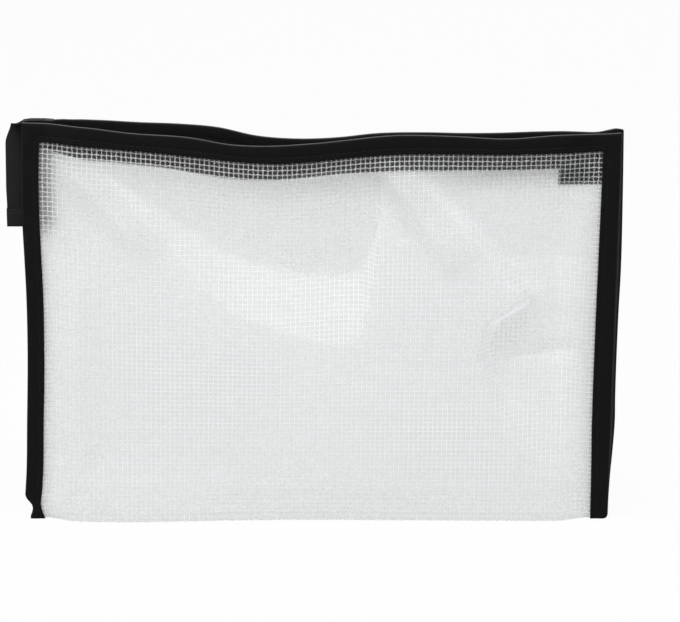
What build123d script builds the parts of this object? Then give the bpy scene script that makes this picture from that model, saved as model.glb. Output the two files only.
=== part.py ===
"""Document wallet for A4 papers: one mesh-reinforced clear sheet folded at the base, its edges bound
in black woven tape, with an open zip along the mouth whose closed end hangs out as a tail.

Millimetres. X runs along the mouth to the right, Y to the back, Z up. The origin is the middle of the
base fold's underside. Every piece that lies along a panel is placed by its offset from that panel's
outer face, so the bindings, tapes and seams follow the panels when a size changes.
"""

import os
from math import cos, radians, sin

from build123d import *

# Wallet body
WIDTH = 340.0  # over the two side bindings
HEIGHT = 235.0  # floor to the top of the top bindings
BASE_DEPTH = 12.0  # front face to back face at the base fold
MOUTH_DEPTH = 16.0  # front face to back face at the mouth
TAPER_RUN = 25.0  # from a side binding to the full depth
SHEET = 0.5  # clear sheet with its scrim
FOLD_RADIUS = 1.2  # outside of the base fold
FOLD_HEIGHT = 2.5  # the part of the sheet that belongs to the fold

# Bindings and thread
BINDING = 0.8  # woven tape
SIDE_LEG = 10.0  # what a side binding covers of each panel
TOP_LEG = 10.5  # what a top binding covers of its panel
SEAM_INSET = 3.0  # stitch line to the binding's edge
THREAD = 0.35  # how far a seam stands proud
SEAM_WIDTH = 0.6
FLOOR_GAP = 0.2  # side bindings stop short of the floor

# Zip
TAPE = 0.5
TAPE_MARGIN = 6.0  # half-tape inside the binding
TAPE_DROP = 8.6  # half-tape hanging free below the binding
TAPE_END_DROP = 6.5  # half-tape beyond the straight middle
COIL_WIDTH = 2.2
COIL_HEIGHT = 1.6
STOP_LENGTH = 3.0
STOP_PROUD = 0.4  # a stop's rise over the coil
END_TAB_DROP = 20.0  # doubled tape at the mouth's right end
COIL_SETBACK = 2.0  # the tail's coils end below its fold

# Tail of the zip
TAIL_WIDTH = 28.0
TAIL_LENGTH = 58.5
TAIL_OVERHANG = 10.0  # beyond the wallet's left edge
TAIL_CORNER = (3.5, 8.0)  # corner that the fold takes off, across and down
CHAIN_GAP = 0.2  # between the meshed coils
TAIL_TAB = 0.7  # fabric that wraps the tail's cut end
TAIL_TAB_LENGTH = 10.0
TONGUE_DEPTH = 13.0  # tail's root inside the mouth

# Slider and puller
SLIDER_LENGTH = 12.0
SLIDER_PLATE = 1.0
FLANGE = 1.0
WEDGE_WIDTH = 2.6  # post that parts the two coils
WEDGE_LENGTH = 3.5
WEDGE_SETBACK = 0.6  # from the slider's top end
BRIDGE_LENGTH = 8.0
BRIDGE_WIDTH = 2.0
BRIDGE_BAR = 1.1
PULLER_LENGTH = 26.0
PULLER_WIDTH = 6.5
PULLER_THICK = 1.4
PULLER_HOLE = 3.6  # hand hole near the free end

# Clearances
FIT = 0.1  # between layers that are sewn together
RUN = 0.3  # between pieces that move past each other
TURN = 0.8  # a hinge line to the edge that it folds at
SEAM_PLAY = 0.25  # tail root between the two inner legs
END_PLAY = 1.2  # free middle of a half-tape to its still ends

# Stack of layers, measured inwards from a panel's outer face
OUTER_LEG = -(FIT + BINDING)
MARGIN = SHEET + FIT
INNER_LEG = MARGIN + TAPE + FIT
STACK = INNER_LEG + BINDING
FLAP = SHEET + TAPE / 2 + RUN
SEAM_DEPTH = 2 * (STACK + TAPE / 2 + SEAM_PLAY)

# Places along the wallet
EDGE = WIDTH / 2
PANEL_EDGE = EDGE - BINDING - FIT
LEG_X = EDGE - SIDE_LEG
MIDDLE_X = LEG_X - TAPER_RUN
PANEL_TOP = HEIGHT - BINDING - FIT
LEG_BOTTOM = HEIGHT - TOP_LEG
FLAP_AXIS_Z = LEG_BOTTOM - TURN
FLAP_TOP = FLAP_AXIS_Z - TAPE / 2
FLAP_BOTTOM = LEG_BOTTOM - TAPE_DROP
FLAP_END = MIDDLE_X - END_PLAY

# Places on the tail
TAIL_X = -EDGE - TAIL_OVERHANG + TAIL_WIDTH / 2
TAIL_AXIS_Z = HEIGHT + FIT + TAPE / 2
TAIL_TOP = TAIL_AXIS_Z - TAPE / 2
TAIL_END = TAIL_AXIS_Z - TAIL_LENGTH
TAB_TOP = TAIL_END + TAIL_TAB_LENGTH
STOP_BOTTOM = TAB_TOP + RUN
COIL_BOTTOM = STOP_BOTTOM + STOP_LENGTH
SLIDER_BOTTOM = COIL_BOTTOM + RUN
SLIDER_TOP = SLIDER_BOTTOM + SLIDER_LENGTH
WEDGE_TOP = SLIDER_TOP - WEDGE_SETBACK
WEDGE_BOTTOM = WEDGE_TOP - WEDGE_LENGTH
PARTING = WEDGE_WIDTH / 2 + RUN  # half the gap between the parted coils
PARTING_RUN = 3.0  # along the tail, from meshed to parted

FRONT, BACK = -1, 1
LEFT, RIGHT = -1, 1


def half_depth(x, z):
    """Distance from the wallet's middle plane to a panel's outer face."""
    full = (BASE_DEPTH + (MOUTH_DEPTH - BASE_DEPTH) * z / HEIGHT) / 2
    share = min(max((LEG_X - abs(x)) / TAPER_RUN, 0), 1)
    return SEAM_DEPTH / 2 + share * (full - SEAM_DEPTH / 2)


def stations(x0, x1):
    """The ends of a run along the wallet and the bends of the panels between them."""
    bends = (-LEG_X, -MIDDLE_X, MIDDLE_X, LEG_X)
    return [x0] + [x for x in bends if x0 < x < x1] + [x1]


def outline(side, xs, z, near, far):
    """A thin strip's outline at one height, between two offsets from a panel's outer face."""
    outer = [(x, side * (half_depth(x, z) - near), z) for x in xs]
    inner = [(x, side * (half_depth(x, z) - far), z) for x in reversed(xs)]
    return Wire.make_polygon([Vector(*p) for p in outer + inner], close=True)


def strip(side, x0, x1, z0, z1, near, far):
    """A layer on one panel, from x0 to x1 and z0 to z1, between two offsets from its outer face."""
    xs = stations(x0, x1)
    return Solid.make_loft([outline(side, xs, z, near, far) for z in (z0, z1)], True)


def block(x0, x1, y0, y1, z0, z1):
    """A box between two corners."""
    return Pos(x0, y0, z0) * Solid.make_box(x1 - x0, y1 - y0, z1 - z0)


def plate_xz(points, y0, y1):
    """An outline of (x, z) points, as a plate from y0 to y1."""
    wire = Wire.make_polygon([Vector(x, y0, z) for x, z in points], close=True)
    return Solid.extrude(Face(wire), Vector(0, y1 - y0, 0))


def save(name, shape):
    """Write one piece, or one group of like pieces, as its own file."""
    export_step(shape, f"parts/{name}.step")


# Sheet: two panels and the fold that joins them


def fold_outline(z, inset):
    """The base fold's outline at one height, drawn in by inset."""
    edge = PANEL_EDGE - inset
    xs = stations(-edge, edge)
    front = [(x, -half_depth(x, 0) + inset, z) for x in xs]
    back = [(x, half_depth(x, 0) - inset, z) for x in reversed(xs)]
    return Wire.make_polygon([Vector(*p) for p in front + back], close=True)


def fold_solid(radius, inset, bottom):
    """A solid with a rounded lower edge, up to the top of the base fold."""
    turns = [radians(a) for a in (0, 30, 60, 90)]
    levels = [(bottom + radius * (1 - cos(a)), inset + radius * (1 - sin(a))) for a in turns]
    levels.append((FOLD_HEIGHT, inset))
    return Solid.make_loft([fold_outline(z, i) for z, i in levels], True)


def base_fold():
    return fold_solid(FOLD_RADIUS, 0, 0) - fold_solid(FOLD_RADIUS - SHEET, SHEET, SHEET)


def panel(side):
    return strip(side, -PANEL_EDGE, PANEL_EDGE, FOLD_HEIGHT, PANEL_TOP, 0, SHEET)


# Bindings, mitred where they meet at the top corners


def corner_wedge(hand, above):
    """What lies over, or under, the mitre line of a top corner."""
    reach = 2 * TOP_LEG  # well past the corner
    slope = TOP_LEG / SIDE_LEG
    sign = 1 if above else -1
    near_x = LEG_X - reach / slope
    far_x = EDGE + reach / slope
    shift = -sign * FIT / 2
    near = (hand * near_x, LEG_BOTTOM - reach + shift)
    far = (hand * far_x, HEIGHT + reach + shift)
    corner = (hand * (near_x if above else far_x), (far if above else near)[1])
    return plate_xz([near, far, corner], -MOUTH_DEPTH, MOUTH_DEPTH)


def side_binding(hand):
    outer_y = SEAM_DEPTH / 2 + FIT + BINDING
    slot_y = SEAM_DEPTH / 2 + FIT
    xs = sorted((hand * LEG_X, hand * EDGE))
    slot_xs = sorted((hand * (LEG_X - RUN), hand * (EDGE - BINDING)))
    channel = block(*xs, -outer_y, outer_y, FLOOR_GAP, HEIGHT)
    channel -= block(*slot_xs, -slot_y, slot_y, 0, HEIGHT + FIT)
    return channel - corner_wedge(hand, True)


def top_binding(side):
    channel = strip(side, -EDGE, EDGE, LEG_BOTTOM, HEIGHT, OUTER_LEG, STACK)
    slot = strip(side, -EDGE - RUN, EDGE + RUN, LEG_BOTTOM - RUN, HEIGHT - BINDING, -FIT, INNER_LEG)
    channel -= slot
    return channel - corner_wedge(LEFT, False) - corner_wedge(RIGHT, False)


# Seams: the raised line of thread on both faces of a binding


def top_seam(side):
    z0 = LEG_BOTTOM + SEAM_INSET - SEAM_WIDTH / 2
    z1 = z0 + SEAM_WIDTH
    outside = strip(side, -LEG_X, LEG_X, z0, z1, OUTER_LEG - THREAD, OUTER_LEG)
    inside = strip(side, -MIDDLE_X, MIDDLE_X, z0, z1, STACK, STACK + THREAD)
    return Compound([outside, inside])


def side_seam(hand):
    face = SEAM_DEPTH / 2 + FIT + BINDING
    mid_x = hand * (LEG_X + SEAM_INSET)
    x0, x1 = mid_x - SEAM_WIDTH / 2, mid_x + SEAM_WIDTH / 2
    z0, z1 = FLOOR_GAP + SEAM_INSET, LEG_BOTTOM
    front = block(x0, x1, -face - THREAD, -face, z0, z1)
    back = block(x0, x1, face, face + THREAD, z0, z1)
    return Compound([front, back])


# Zip along the mouth


def tape_margin(side):
    return strip(side, -LEG_X, LEG_X, LEG_BOTTOM, LEG_BOTTOM + TAPE_MARGIN, MARGIN, MARGIN + TAPE)


def tape_end(side, hand, width, drop):
    """The still end of a half-tape, beside the free middle."""
    xs = sorted((hand * LEG_X, hand * (LEG_X - width)))
    return strip(side, *xs, LEG_BOTTOM - drop, LEG_BOTTOM, MARGIN, MARGIN + TAPE)


def free_tape(side):
    return strip(side, -FLAP_END, FLAP_END, FLAP_BOTTOM, FLAP_TOP, FLAP, FLAP + TAPE)


def free_coil(side):
    near = FLAP + TAPE
    end = FLAP_END - STOP_LENGTH - RUN
    return strip(side, -FLAP_END, end, FLAP_BOTTOM, FLAP_BOTTOM + COIL_WIDTH, near, near + COIL_HEIGHT)


def top_stop(side):
    near = FLAP + TAPE
    far = near + COIL_HEIGHT + STOP_PROUD
    return strip(side, FLAP_END - STOP_LENGTH, FLAP_END, FLAP_BOTTOM, FLAP_BOTTOM + COIL_WIDTH, near, far)


# Tail: the closed end of the zip, folded over the back binding and hanging behind it

TAIL_RIGHT = TAIL_X + TAIL_WIDTH / 2
TAIL_LEFT = TAIL_X - TAIL_WIDTH / 2
BACK_FACE = half_depth(TAIL_RIGHT, HEIGHT) - OUTER_LEG + THREAD
TAIL_Y = BACK_FACE + RUN + SLIDER_PLATE + RUN + TAPE / 2
TAIL_FRONT = TAIL_Y - TAPE / 2
TAIL_BACK = TAIL_Y + TAPE / 2
COIL_TOP = TAIL_BACK + COIL_HEIGHT


def tail_root():
    """The stretch of tape that climbs out of the mouth and lies over the back binding."""
    over = block(
        TAIL_LEFT + TAIL_CORNER[0], TAIL_RIGHT,
        -TAPE / 2, TAIL_Y - TURN,
        TAIL_AXIS_Z - TAPE / 2, TAIL_AXIS_Z + TAPE / 2,
    )
    tongue = block(-LEG_X, TAIL_RIGHT, -TAPE / 2, TAPE / 2, HEIGHT - TONGUE_DEPTH, TAIL_AXIS_Z)
    return over + tongue


def chain_edge(hand, offset):
    """The (x, z) points up a half's inner edge: meshed below the slider's wedge, parted from there on."""
    closed = TAIL_X + hand * (CHAIN_GAP / 2 + offset)
    parted = TAIL_X + hand * (PARTING + offset)
    turn = WEDGE_BOTTOM - RUN
    return [(closed, turn - PARTING_RUN), (parted, turn)]


def tail_tape(hand):
    low = TAIL_X + hand * CHAIN_GAP / 2
    high = TAIL_X + hand * PARTING
    edge = TAIL_X + hand * TAIL_WIDTH / 2
    points = [(low, TAIL_END), *chain_edge(hand, 0), (high, TAIL_TOP - TAPE / 2)]
    if hand == LEFT:
        across, down = TAIL_CORNER
        points += [(edge + across, TAIL_TOP - TAPE / 2), (edge, TAIL_TOP - down)]
    else:
        points.append((edge, TAIL_TOP - TAPE / 2))
    points.append((edge, TAIL_END))
    return plate_xz(points, TAIL_FRONT, TAIL_BACK)


def tail_coil(hand):
    top = TAIL_TOP - COIL_SETBACK
    inner = [(TAIL_X + hand * CHAIN_GAP / 2, COIL_BOTTOM), *chain_edge(hand, 0)]
    inner.append((TAIL_X + hand * PARTING, top))
    outer = [(TAIL_X + hand * (CHAIN_GAP / 2 + COIL_WIDTH), COIL_BOTTOM), *chain_edge(hand, COIL_WIDTH)]
    outer.append((TAIL_X + hand * (PARTING + COIL_WIDTH), top))
    return plate_xz(inner + outer[::-1], TAIL_BACK, COIL_TOP)


def bottom_stop():
    half = CHAIN_GAP / 2 + COIL_WIDTH
    top = COIL_TOP + STOP_PROUD
    return block(TAIL_X - half, TAIL_X + half, TAIL_BACK, top, STOP_BOTTOM, STOP_BOTTOM + STOP_LENGTH)


def tail_end_tab():
    """Fabric folded round the cut end of both half-tapes."""
    wrap = FIT + TAIL_TAB
    sleeve = block(
        TAIL_LEFT, TAIL_RIGHT,
        TAIL_FRONT - wrap, TAIL_BACK + wrap,
        TAIL_END - wrap, TAB_TOP,
    )
    return sleeve - block(
        TAIL_LEFT - RUN, TAIL_RIGHT + RUN,
        TAIL_FRONT - FIT, TAIL_BACK + FIT,
        TAIL_END - FIT, TAB_TOP + RUN,
    )


def tail_end_seam():
    z0 = TAB_TOP - SEAM_INSET - SEAM_WIDTH / 2
    z1 = z0 + SEAM_WIDTH
    x0, x1 = TAIL_LEFT + SEAM_INSET, TAIL_RIGHT - SEAM_INSET
    front = TAIL_FRONT - FIT - TAIL_TAB
    back = TAIL_BACK + FIT + TAIL_TAB
    lines = [block(x0, x1, front - THREAD, front, z0, z1), block(x0, x1, back, back + THREAD, z0, z1)]
    return Compound(lines)


# Slider: two plates held by a wedge, with flanges that keep the coils in, and a bridge for the puller

PLATE_BACK = COIL_TOP + RUN
SLIDER_HALF = PARTING + COIL_WIDTH + RUN + FLANGE
SLIDER_MID = SLIDER_BOTTOM + SLIDER_LENGTH / 2
BRIDGE_FACE = PLATE_BACK + SLIDER_PLATE
BRIDGE_RISE = PULLER_THICK + 2 * RUN
PIVOT_Y = BRIDGE_FACE + BRIDGE_RISE / 2


def slider_body():
    left, right = TAIL_X - SLIDER_HALF, TAIL_X + SLIDER_HALF
    front = block(left, right, TAIL_FRONT - RUN - SLIDER_PLATE, TAIL_FRONT - RUN, SLIDER_BOTTOM, SLIDER_TOP)
    back = block(left, right, PLATE_BACK, BRIDGE_FACE, SLIDER_BOTTOM, SLIDER_TOP)
    plates = [fillet(p.edges().filter_by(Axis.Y), FLANGE) for p in (front, back)]
    wedge = block(
        TAIL_X - WEDGE_WIDTH / 2, TAIL_X + WEDGE_WIDTH / 2,
        TAIL_FRONT - RUN, PLATE_BACK,
        WEDGE_BOTTOM, WEDGE_TOP,
    )
    z0, z1 = SLIDER_BOTTOM + FLANGE, SLIDER_TOP - FLANGE
    flanges = [
        block(x, x + FLANGE, TAIL_BACK + RUN, PLATE_BACK, z0, z1)
        for x in (left, right - FLANGE)
    ]
    return plates[0] + plates[1] + wedge + flanges[0] + flanges[1]


def slider_bridge():
    rise = BRIDGE_RISE + BRIDGE_BAR
    x0, x1 = TAIL_X - BRIDGE_WIDTH / 2, TAIL_X + BRIDGE_WIDTH / 2
    z0, z1 = SLIDER_MID - BRIDGE_LENGTH / 2, SLIDER_MID + BRIDGE_LENGTH / 2
    arch = block(x0, x1, BRIDGE_FACE, BRIDGE_FACE + rise, z0, z1)
    crown = arch.faces().sort_by(Axis.Y)[-1].edges().filter_by(Axis.X)
    arch = fillet(crown, BRIDGE_BAR)
    window = (x0 - RUN, x1 + RUN, BRIDGE_FACE - RUN, BRIDGE_FACE + BRIDGE_RISE)
    return arch - block(*window, z0 + BRIDGE_BAR, z1 - BRIDGE_BAR)


def puller():
    """A flat tab whose window straddles the bridge, so that its end bar turns inside it."""
    bar = PULLER_THICK / 2
    window_end = BRIDGE_LENGTH / 2 + BRIDGE_RISE / 2 + 2 * RUN
    window_half = BRIDGE_WIDTH / 2 + 2 * RUN
    y0, y1 = PIVOT_Y - bar, PIVOT_Y + bar
    half = PULLER_WIDTH / 2
    tab = block(TAIL_X - half, TAIL_X + half, y0, y1, SLIDER_MID - PULLER_LENGTH, SLIDER_MID)
    end_edges = tab.edges().filter_by(Axis.Y).group_by(Axis.Z)[0]
    tab = fillet(end_edges, half - RUN)
    tab += Pos(TAIL_X - half, PIVOT_Y, SLIDER_MID) * Rot(0, 90, 0) * Cylinder(
        bar, PULLER_WIDTH, align=(Align.CENTER, Align.CENTER, Align.MIN)
    )
    window = block(
        TAIL_X - window_half, TAIL_X + window_half,
        y0 - RUN, y1 + RUN,
        SLIDER_MID - window_end, SLIDER_MID - bar,
    )
    hole_z = SLIDER_MID - PULLER_LENGTH + half
    hole = Pos(TAIL_X, PIVOT_Y, hole_z) * Rot(90, 0, 0) * Cylinder(PULLER_HOLE / 2, PULLER_THICK + 2 * RUN)
    return tab - window - hole


os.makedirs("parts", exist_ok=True)

save("base_fold", base_fold())
save("left_binding", side_binding(LEFT))
save("right_binding", side_binding(RIGHT))
save("left_side_seam", side_seam(LEFT))
save("right_side_seam", side_seam(RIGHT))

for side, name in ((FRONT, "front"), (BACK, "back")):
    save(f"{name}_panel", panel(side))
    save(f"{name}_top_binding", top_binding(side))
    save(f"{name}_top_seam", top_seam(side))
    save(f"{name}_tape_margin", tape_margin(side))
    save(f"{name}_zip_tape", free_tape(side))
    save(f"{name}_zip_coil", free_coil(side))
    save(f"{name}_top_stop", top_stop(side))
    save(f"{name}_tape_lead", tape_end(side, LEFT, TAPER_RUN, TAPE_END_DROP))

save("zip_end_tab", tape_end(FRONT, RIGHT, TAPER_RUN, END_TAB_DROP))
save("back_tape_end", tape_end(BACK, RIGHT, TAPER_RUN, TAPE_END_DROP))

save("tail_root", tail_root())
save("tail_outer_tape", tail_tape(LEFT))
save("tail_inner_tape", tail_tape(RIGHT))
save("tail_outer_coil", tail_coil(LEFT))
save("tail_inner_coil", tail_coil(RIGHT))
save("tail_bottom_stop", bottom_stop())
save("tail_end_tab", tail_end_tab())
save("tail_end_seam", tail_end_seam())

save("slider_body", slider_body())
save("slider_bridge", slider_bridge())
save("puller_tab", puller())
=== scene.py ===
"""Looks of a zip wallet of clear mesh film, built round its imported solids. Metres, in the solids' frame."""

import math

import bmesh
import bpy
import numpy as np
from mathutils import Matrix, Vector


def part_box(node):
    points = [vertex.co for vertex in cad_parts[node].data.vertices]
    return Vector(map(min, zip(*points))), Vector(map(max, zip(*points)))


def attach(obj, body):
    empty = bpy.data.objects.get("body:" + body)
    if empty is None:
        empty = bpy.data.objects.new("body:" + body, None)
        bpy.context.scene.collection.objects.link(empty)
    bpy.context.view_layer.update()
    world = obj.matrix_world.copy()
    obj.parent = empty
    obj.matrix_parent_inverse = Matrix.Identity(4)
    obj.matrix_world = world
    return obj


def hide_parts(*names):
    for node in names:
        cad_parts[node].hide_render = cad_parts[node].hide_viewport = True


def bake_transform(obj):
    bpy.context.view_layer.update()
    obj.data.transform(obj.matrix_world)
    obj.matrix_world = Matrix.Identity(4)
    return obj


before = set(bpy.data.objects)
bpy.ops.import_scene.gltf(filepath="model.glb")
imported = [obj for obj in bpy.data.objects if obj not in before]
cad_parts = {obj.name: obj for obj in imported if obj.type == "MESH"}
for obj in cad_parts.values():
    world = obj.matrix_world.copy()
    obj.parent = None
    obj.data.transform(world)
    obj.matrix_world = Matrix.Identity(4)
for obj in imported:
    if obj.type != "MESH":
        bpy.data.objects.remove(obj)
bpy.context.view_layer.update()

bl_info = {
    "name": "Mesh document wallet",
    "version": (1, 0, 0),
    "blender": (4, 5, 0),
    "location": "3D View > Sidebar > Wallet",
    "description": "Builds the looks of a zip wallet of mesh film round its packed solids",
    "category": "Add Mesh",
}

MM = 0.001
FRONT, BACK = -1, 1
LEFT, RIGHT = -1, 1
PANELS = ((FRONT, "front"), (BACK, "back"))
BOUND_EDGES = ((LEFT, "left"), (RIGHT, "right"))
TAIL_HALVES = ((LEFT, "outer"), (RIGHT, "inner"))

# Places on the wallet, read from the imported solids
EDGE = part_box("right_binding")[1].x
LEG_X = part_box("right_binding")[0].x
FLOOR_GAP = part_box("right_binding")[0].z
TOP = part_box("front_top_binding")[1].z
LEG_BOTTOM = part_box("front_top_binding")[0].z
PANEL_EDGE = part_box("front_panel")[1].x
PANEL_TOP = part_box("front_panel")[1].z
BASE_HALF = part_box("base_fold")[1].y
MOUTH_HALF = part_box("back_panel")[1].y
MIDDLE_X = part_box("zip_end_tab")[0].x
MARGIN_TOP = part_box("front_tape_margin")[1].z
FLAP_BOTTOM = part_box("front_zip_tape")[0].z
FLAP_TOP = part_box("front_zip_tape")[1].z
COIL_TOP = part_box("front_zip_coil")[1].z
COIL_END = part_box("front_zip_coil")[1].x
STOP_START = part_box("front_top_stop")[0].x
STOP_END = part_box("front_top_stop")[1].x
LEAD_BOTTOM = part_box("front_tape_lead")[0].z
PATCH_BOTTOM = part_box("zip_end_tab")[0].z

# Places on the tail
TAIL_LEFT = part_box("tail_outer_tape")[0].x
TAIL_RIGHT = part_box("tail_inner_tape")[1].x
TAIL_X = (TAIL_LEFT + TAIL_RIGHT) / 2
TAIL_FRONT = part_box("tail_outer_tape")[0].y
TAIL_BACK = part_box("tail_outer_tape")[1].y
TAIL_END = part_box("tail_outer_tape")[0].z
ROOT_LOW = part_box("tail_root")[0].z
ROOT_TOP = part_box("tail_root")[1].z
TAB_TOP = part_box("tail_end_tab")[1].z
CHAIN_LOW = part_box("tail_inner_coil")[0].z
CHAIN_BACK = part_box("tail_inner_coil")[1].y
CHAIN_STOP_LOW, CHAIN_STOP_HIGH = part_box("tail_bottom_stop")
SLIDER_LOW, SLIDER_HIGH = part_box("slider_body")
BRIDGE_LOW, BRIDGE_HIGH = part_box("slider_bridge")
PULLER_LOW, PULLER_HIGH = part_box("puller_tab")

# Layers, inwards from a panel's outer face
SHEET_MID = 0.25 * MM
TAPE = 0.5 * MM
MARGIN = 0.6 * MM
FLAP = 1.05 * MM
OUTER_FACE = -0.9 * MM
INNER_FACE = 2.0 * MM
BINDING = 0.8 * MM
EDGE_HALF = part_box("right_binding")[1].y + OUTER_FACE

# How far the two rims, and the foot of the front one's binding, rise over their flat height: across,
# rise, in millimetres
FRONT_RIM = (
    (-170, 5.4), (-135, 4.0), (-109, 0.7), (-76, -1.8), (-50, -6.2), (-30, -6.9),
    (-5, -5.4), (44, -0.5), (73, -1.1), (105, -2.7), (138, -0.6), (160, -1.2), (170, -0.6),
)
FRONT_HEM = (
    (-170, 5.2), (-141, 3.8), (-103, 0.5), (-68, -3.2), (-48, -5.6), (-29, -6.7), (-9, -5.9),
    (12, -3.7), (40, -1.2), (75, -1.2), (106, -1.4), (140, -0.7), (170, -0.6),
)
BACK_RIM = (
    (-170, 5.4), (-160, 5.9), (-151, 5.8), (-147, 5.6), (-143, 5.1), (-135, 4.7), (-127, 4.4),
    (-104, 3.1), (-81, 2.2), (-60, 0.3), (-37, -4.8), (-12, -6.6), (10, -5.7), (30, -3.5), (60, -2.9),
    (79, -3.3), (100, -3.2), (120, -2.5), (147, -1.8), (158, -1.0), (164, 0.3), (167, 0.9), (170, 0.6),
)
RIMS = {FRONT: FRONT_RIM, BACK: BACK_RIM}
# How far the front half-tape's free edge hangs below its flat height: across, drop, in millimetres
FRONT_SAG = (
    (-135, -0.5), (-104, -0.3), (-81, 0.4), (-66, 1.8), (-35, 1.9), (-12, 0.9), (10, 0.7), (33, 1.8),
    (60, 2.0), (91, 1.7), (135, 1.0),
)
# How far the bound edges are drawn sideways, to the right of upright, and how far the right one's spine
# swells: height, shift, in millimetres
LEFT_OUTER = (
    (0, 1.5), (2.7, 2.6), (5, 3.1), (8.2, 2.9), (10, 1.6), (12, -0.1), (14, -1.0), (18, -0.9),
    (26, -0.4), (59, 0.5), (105, 1.4), (135, 1.1), (156, 0.3), (178, -0.6), (205, -0.6), (235, -0.2),
)
LEFT_INNER = (
    (0, 0.5), (5, -1.4), (9.4, -2.1), (15, -1.5), (26, -0.7), (59, 0.1), (85, 0.8), (105, 1.0),
    (135, 0.8), (159, -0.1), (178, -0.8), (210, -0.9), (235, 0),
)
RIGHT_OUTER = ((0, 0.6), (25, 0.3), (60, 0), (150, 0), (235, 0))
RIGHT_INNER = ((0, 0.4), (20, 0.2), (60, -0.6), (110, -0.7), (170, -0.3), (210, 0), (235, 0))
RIGHT_SPINE = (
    (0, 0.3), (12, 0.5), (26, 1.1), (42, 2.2), (60, 3.0), (75, 2.75), (105, 2.6), (128, 2.7), (150, 3.05),
    (196, 2.5), (215, 2.1), (235, 1.6),
)
# Lower edge of the big dent in the front film, and how far the film's foot stands out: across, place, in
# millimetres
DENT_FOOT = (
    (-170, 262), (-123, 208), (-83, 165), (-57, 137), (-28, 123), (0, 113), (16, 112), (26, 124),
    (32, 160), (36, 213), (42, 300),
)
FRONT_FOOT = ((-160, 3), (-130, 4.5), (-108, 5), (-80, 4), (-55, 2.2), (100, 2.2), (150, 2.5), (160, 2))
# Where the front film's flat field ends at the right: height, across, in millimetres
FIELD_EDGE = (
    (0, 125), (42, 117), (79, 97), (112, 91), (122, 95), (135, 113), (150, 104), (208, 55), (235, 32),
)
# Sharp folds of the film: across and up at both ends, reach, height, in millimetres
FRONT_FOLDS = (
    (111, 99, 150, 104, 11, -2.0),
    (-139, 140, -144, 20, 22, 1.3),
    (-128, 40, -140, 12, 14, -1.0),
    (-60, 22, 90, 20, 12, 0.5),
)
BACK_FOLDS = (
    (-120, 190, -40, 120, 34, 1.5),
    (60, 200, 20, 110, 30, 1.4),
    (70, 90, 140, 60, 20, -0.8),
)
# Shallow swells and hollows of the film: across, up, reach, height, in millimetres
FRONT_BOWLS = ((-60, 70, 60, 0.4), (60, 75, 50, -0.3))
BACK_BOWLS = ((-10, 170, 45, -2.4), (90, 150, 50, 0.9), (-90, 80, 55, 0.8))
# Steps in the film, seen along each from its upper end: across and up at both ends, width, height, in
# millimetres
FRONT_STEPS = (
    (36, 206, 74, 152, 13, 4.4),
    (-147, 204, -106, 162, 14, 3.6),
)
STEP_FADE = 45 * MM
# Other measures of the film's forms
FILM_BULGE = 1.8 * MM
FIELD_TOP = 215 * MM
DENT_TOP = 213 * MM
DENT_SLOPE = 0.24
LIP_SLOPE = 0.16
RECESS_RUN = 54 * MM
RECESS_LIP = 12 * MM
SOFT_CROSSING = 0.7 * MM


def between(value, low, high):
    """Smooth share of the way from low to high."""
    share = np.clip((value - low) / (high - low), 0, 1)
    return share * share * (3 - 2 * share)


def between_undone(share):
    """The way along that has this smooth share."""
    return 0.5 - np.sin(np.arcsin(np.clip(1 - 2 * share, -1, 1)) / 3)


def smooth_curve(knots, at):
    """Height of a smooth curve through knots given in millimetres."""
    places, heights = np.array(knots, float).T * MM
    slopes = np.gradient(heights, places)
    left = np.clip(np.searchsorted(places, at) - 1, 0, len(places) - 2)
    step = places[left + 1] - places[left]
    t = np.clip((at - places[left]) / step, 0, 1)
    start = (1 + 2 * t) * (1 - t) ** 2 * heights[left] + t * (1 - t) ** 2 * step * slopes[left]
    return start + t * t * (3 - 2 * t) * heights[left + 1] - t * t * (1 - t) * step * slopes[left + 1]


def least(first, second):
    """The smaller of two heights, with a soft edge where they cross."""
    return (first + second - np.hypot(first - second, SOFT_CROSSING)) / 2


def unit(vectors):
    """The same directions, one metre long."""
    return vectors / np.maximum(np.linalg.norm(vectors, axis=-1, keepdims=True), 1e-12)


# Standing shape of the wallet


def panel_half(z):
    """From the wallet's middle plane to a panel's outer face, away from its sides."""
    return BASE_HALF + (MOUTH_HALF - BASE_HALF) * z / PANEL_TOP


def side_taper(u):
    """Share of a panel's depth that it keeps towards its bound sides."""
    return between(LEG_X - np.abs(u), 0, LEG_X - MIDDLE_X)


def half_depth(u, z):
    """From the wallet's middle plane to a panel's outer face."""
    return EDGE_HALF + side_taper(u) * (panel_half(z) - EDGE_HALF)


def free_of_rim(z):
    """Share of the film's forms that the rim's binding doesn't press flat."""
    return 1 - 0.9 * between(z, 200 * MM, 224 * MM)


def crumple(folds, bowls, u, z):
    """How far the film stands out along its folds and in its hollows."""
    total = np.zeros(np.shape(u))
    for u0, z0, u1, z1, reach, height in np.array(folds) * MM:
        run_u, run_z = u1 - u0, z1 - z0
        t = np.clip(((u - u0) * run_u + (z - z0) * run_z) / (run_u**2 + run_z**2), 0, 1)
        gap = np.hypot(u - u0 - t * run_u, z - z0 - t * run_z)
        total += height * np.clip(1 - gap / reach, 0, 1) ** 2
    for u0, z0, reach, height in np.array(bowls) * MM:
        total += height * np.exp(-((u - u0) ** 2 + (z - z0) ** 2) / reach**2)
    return total


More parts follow.
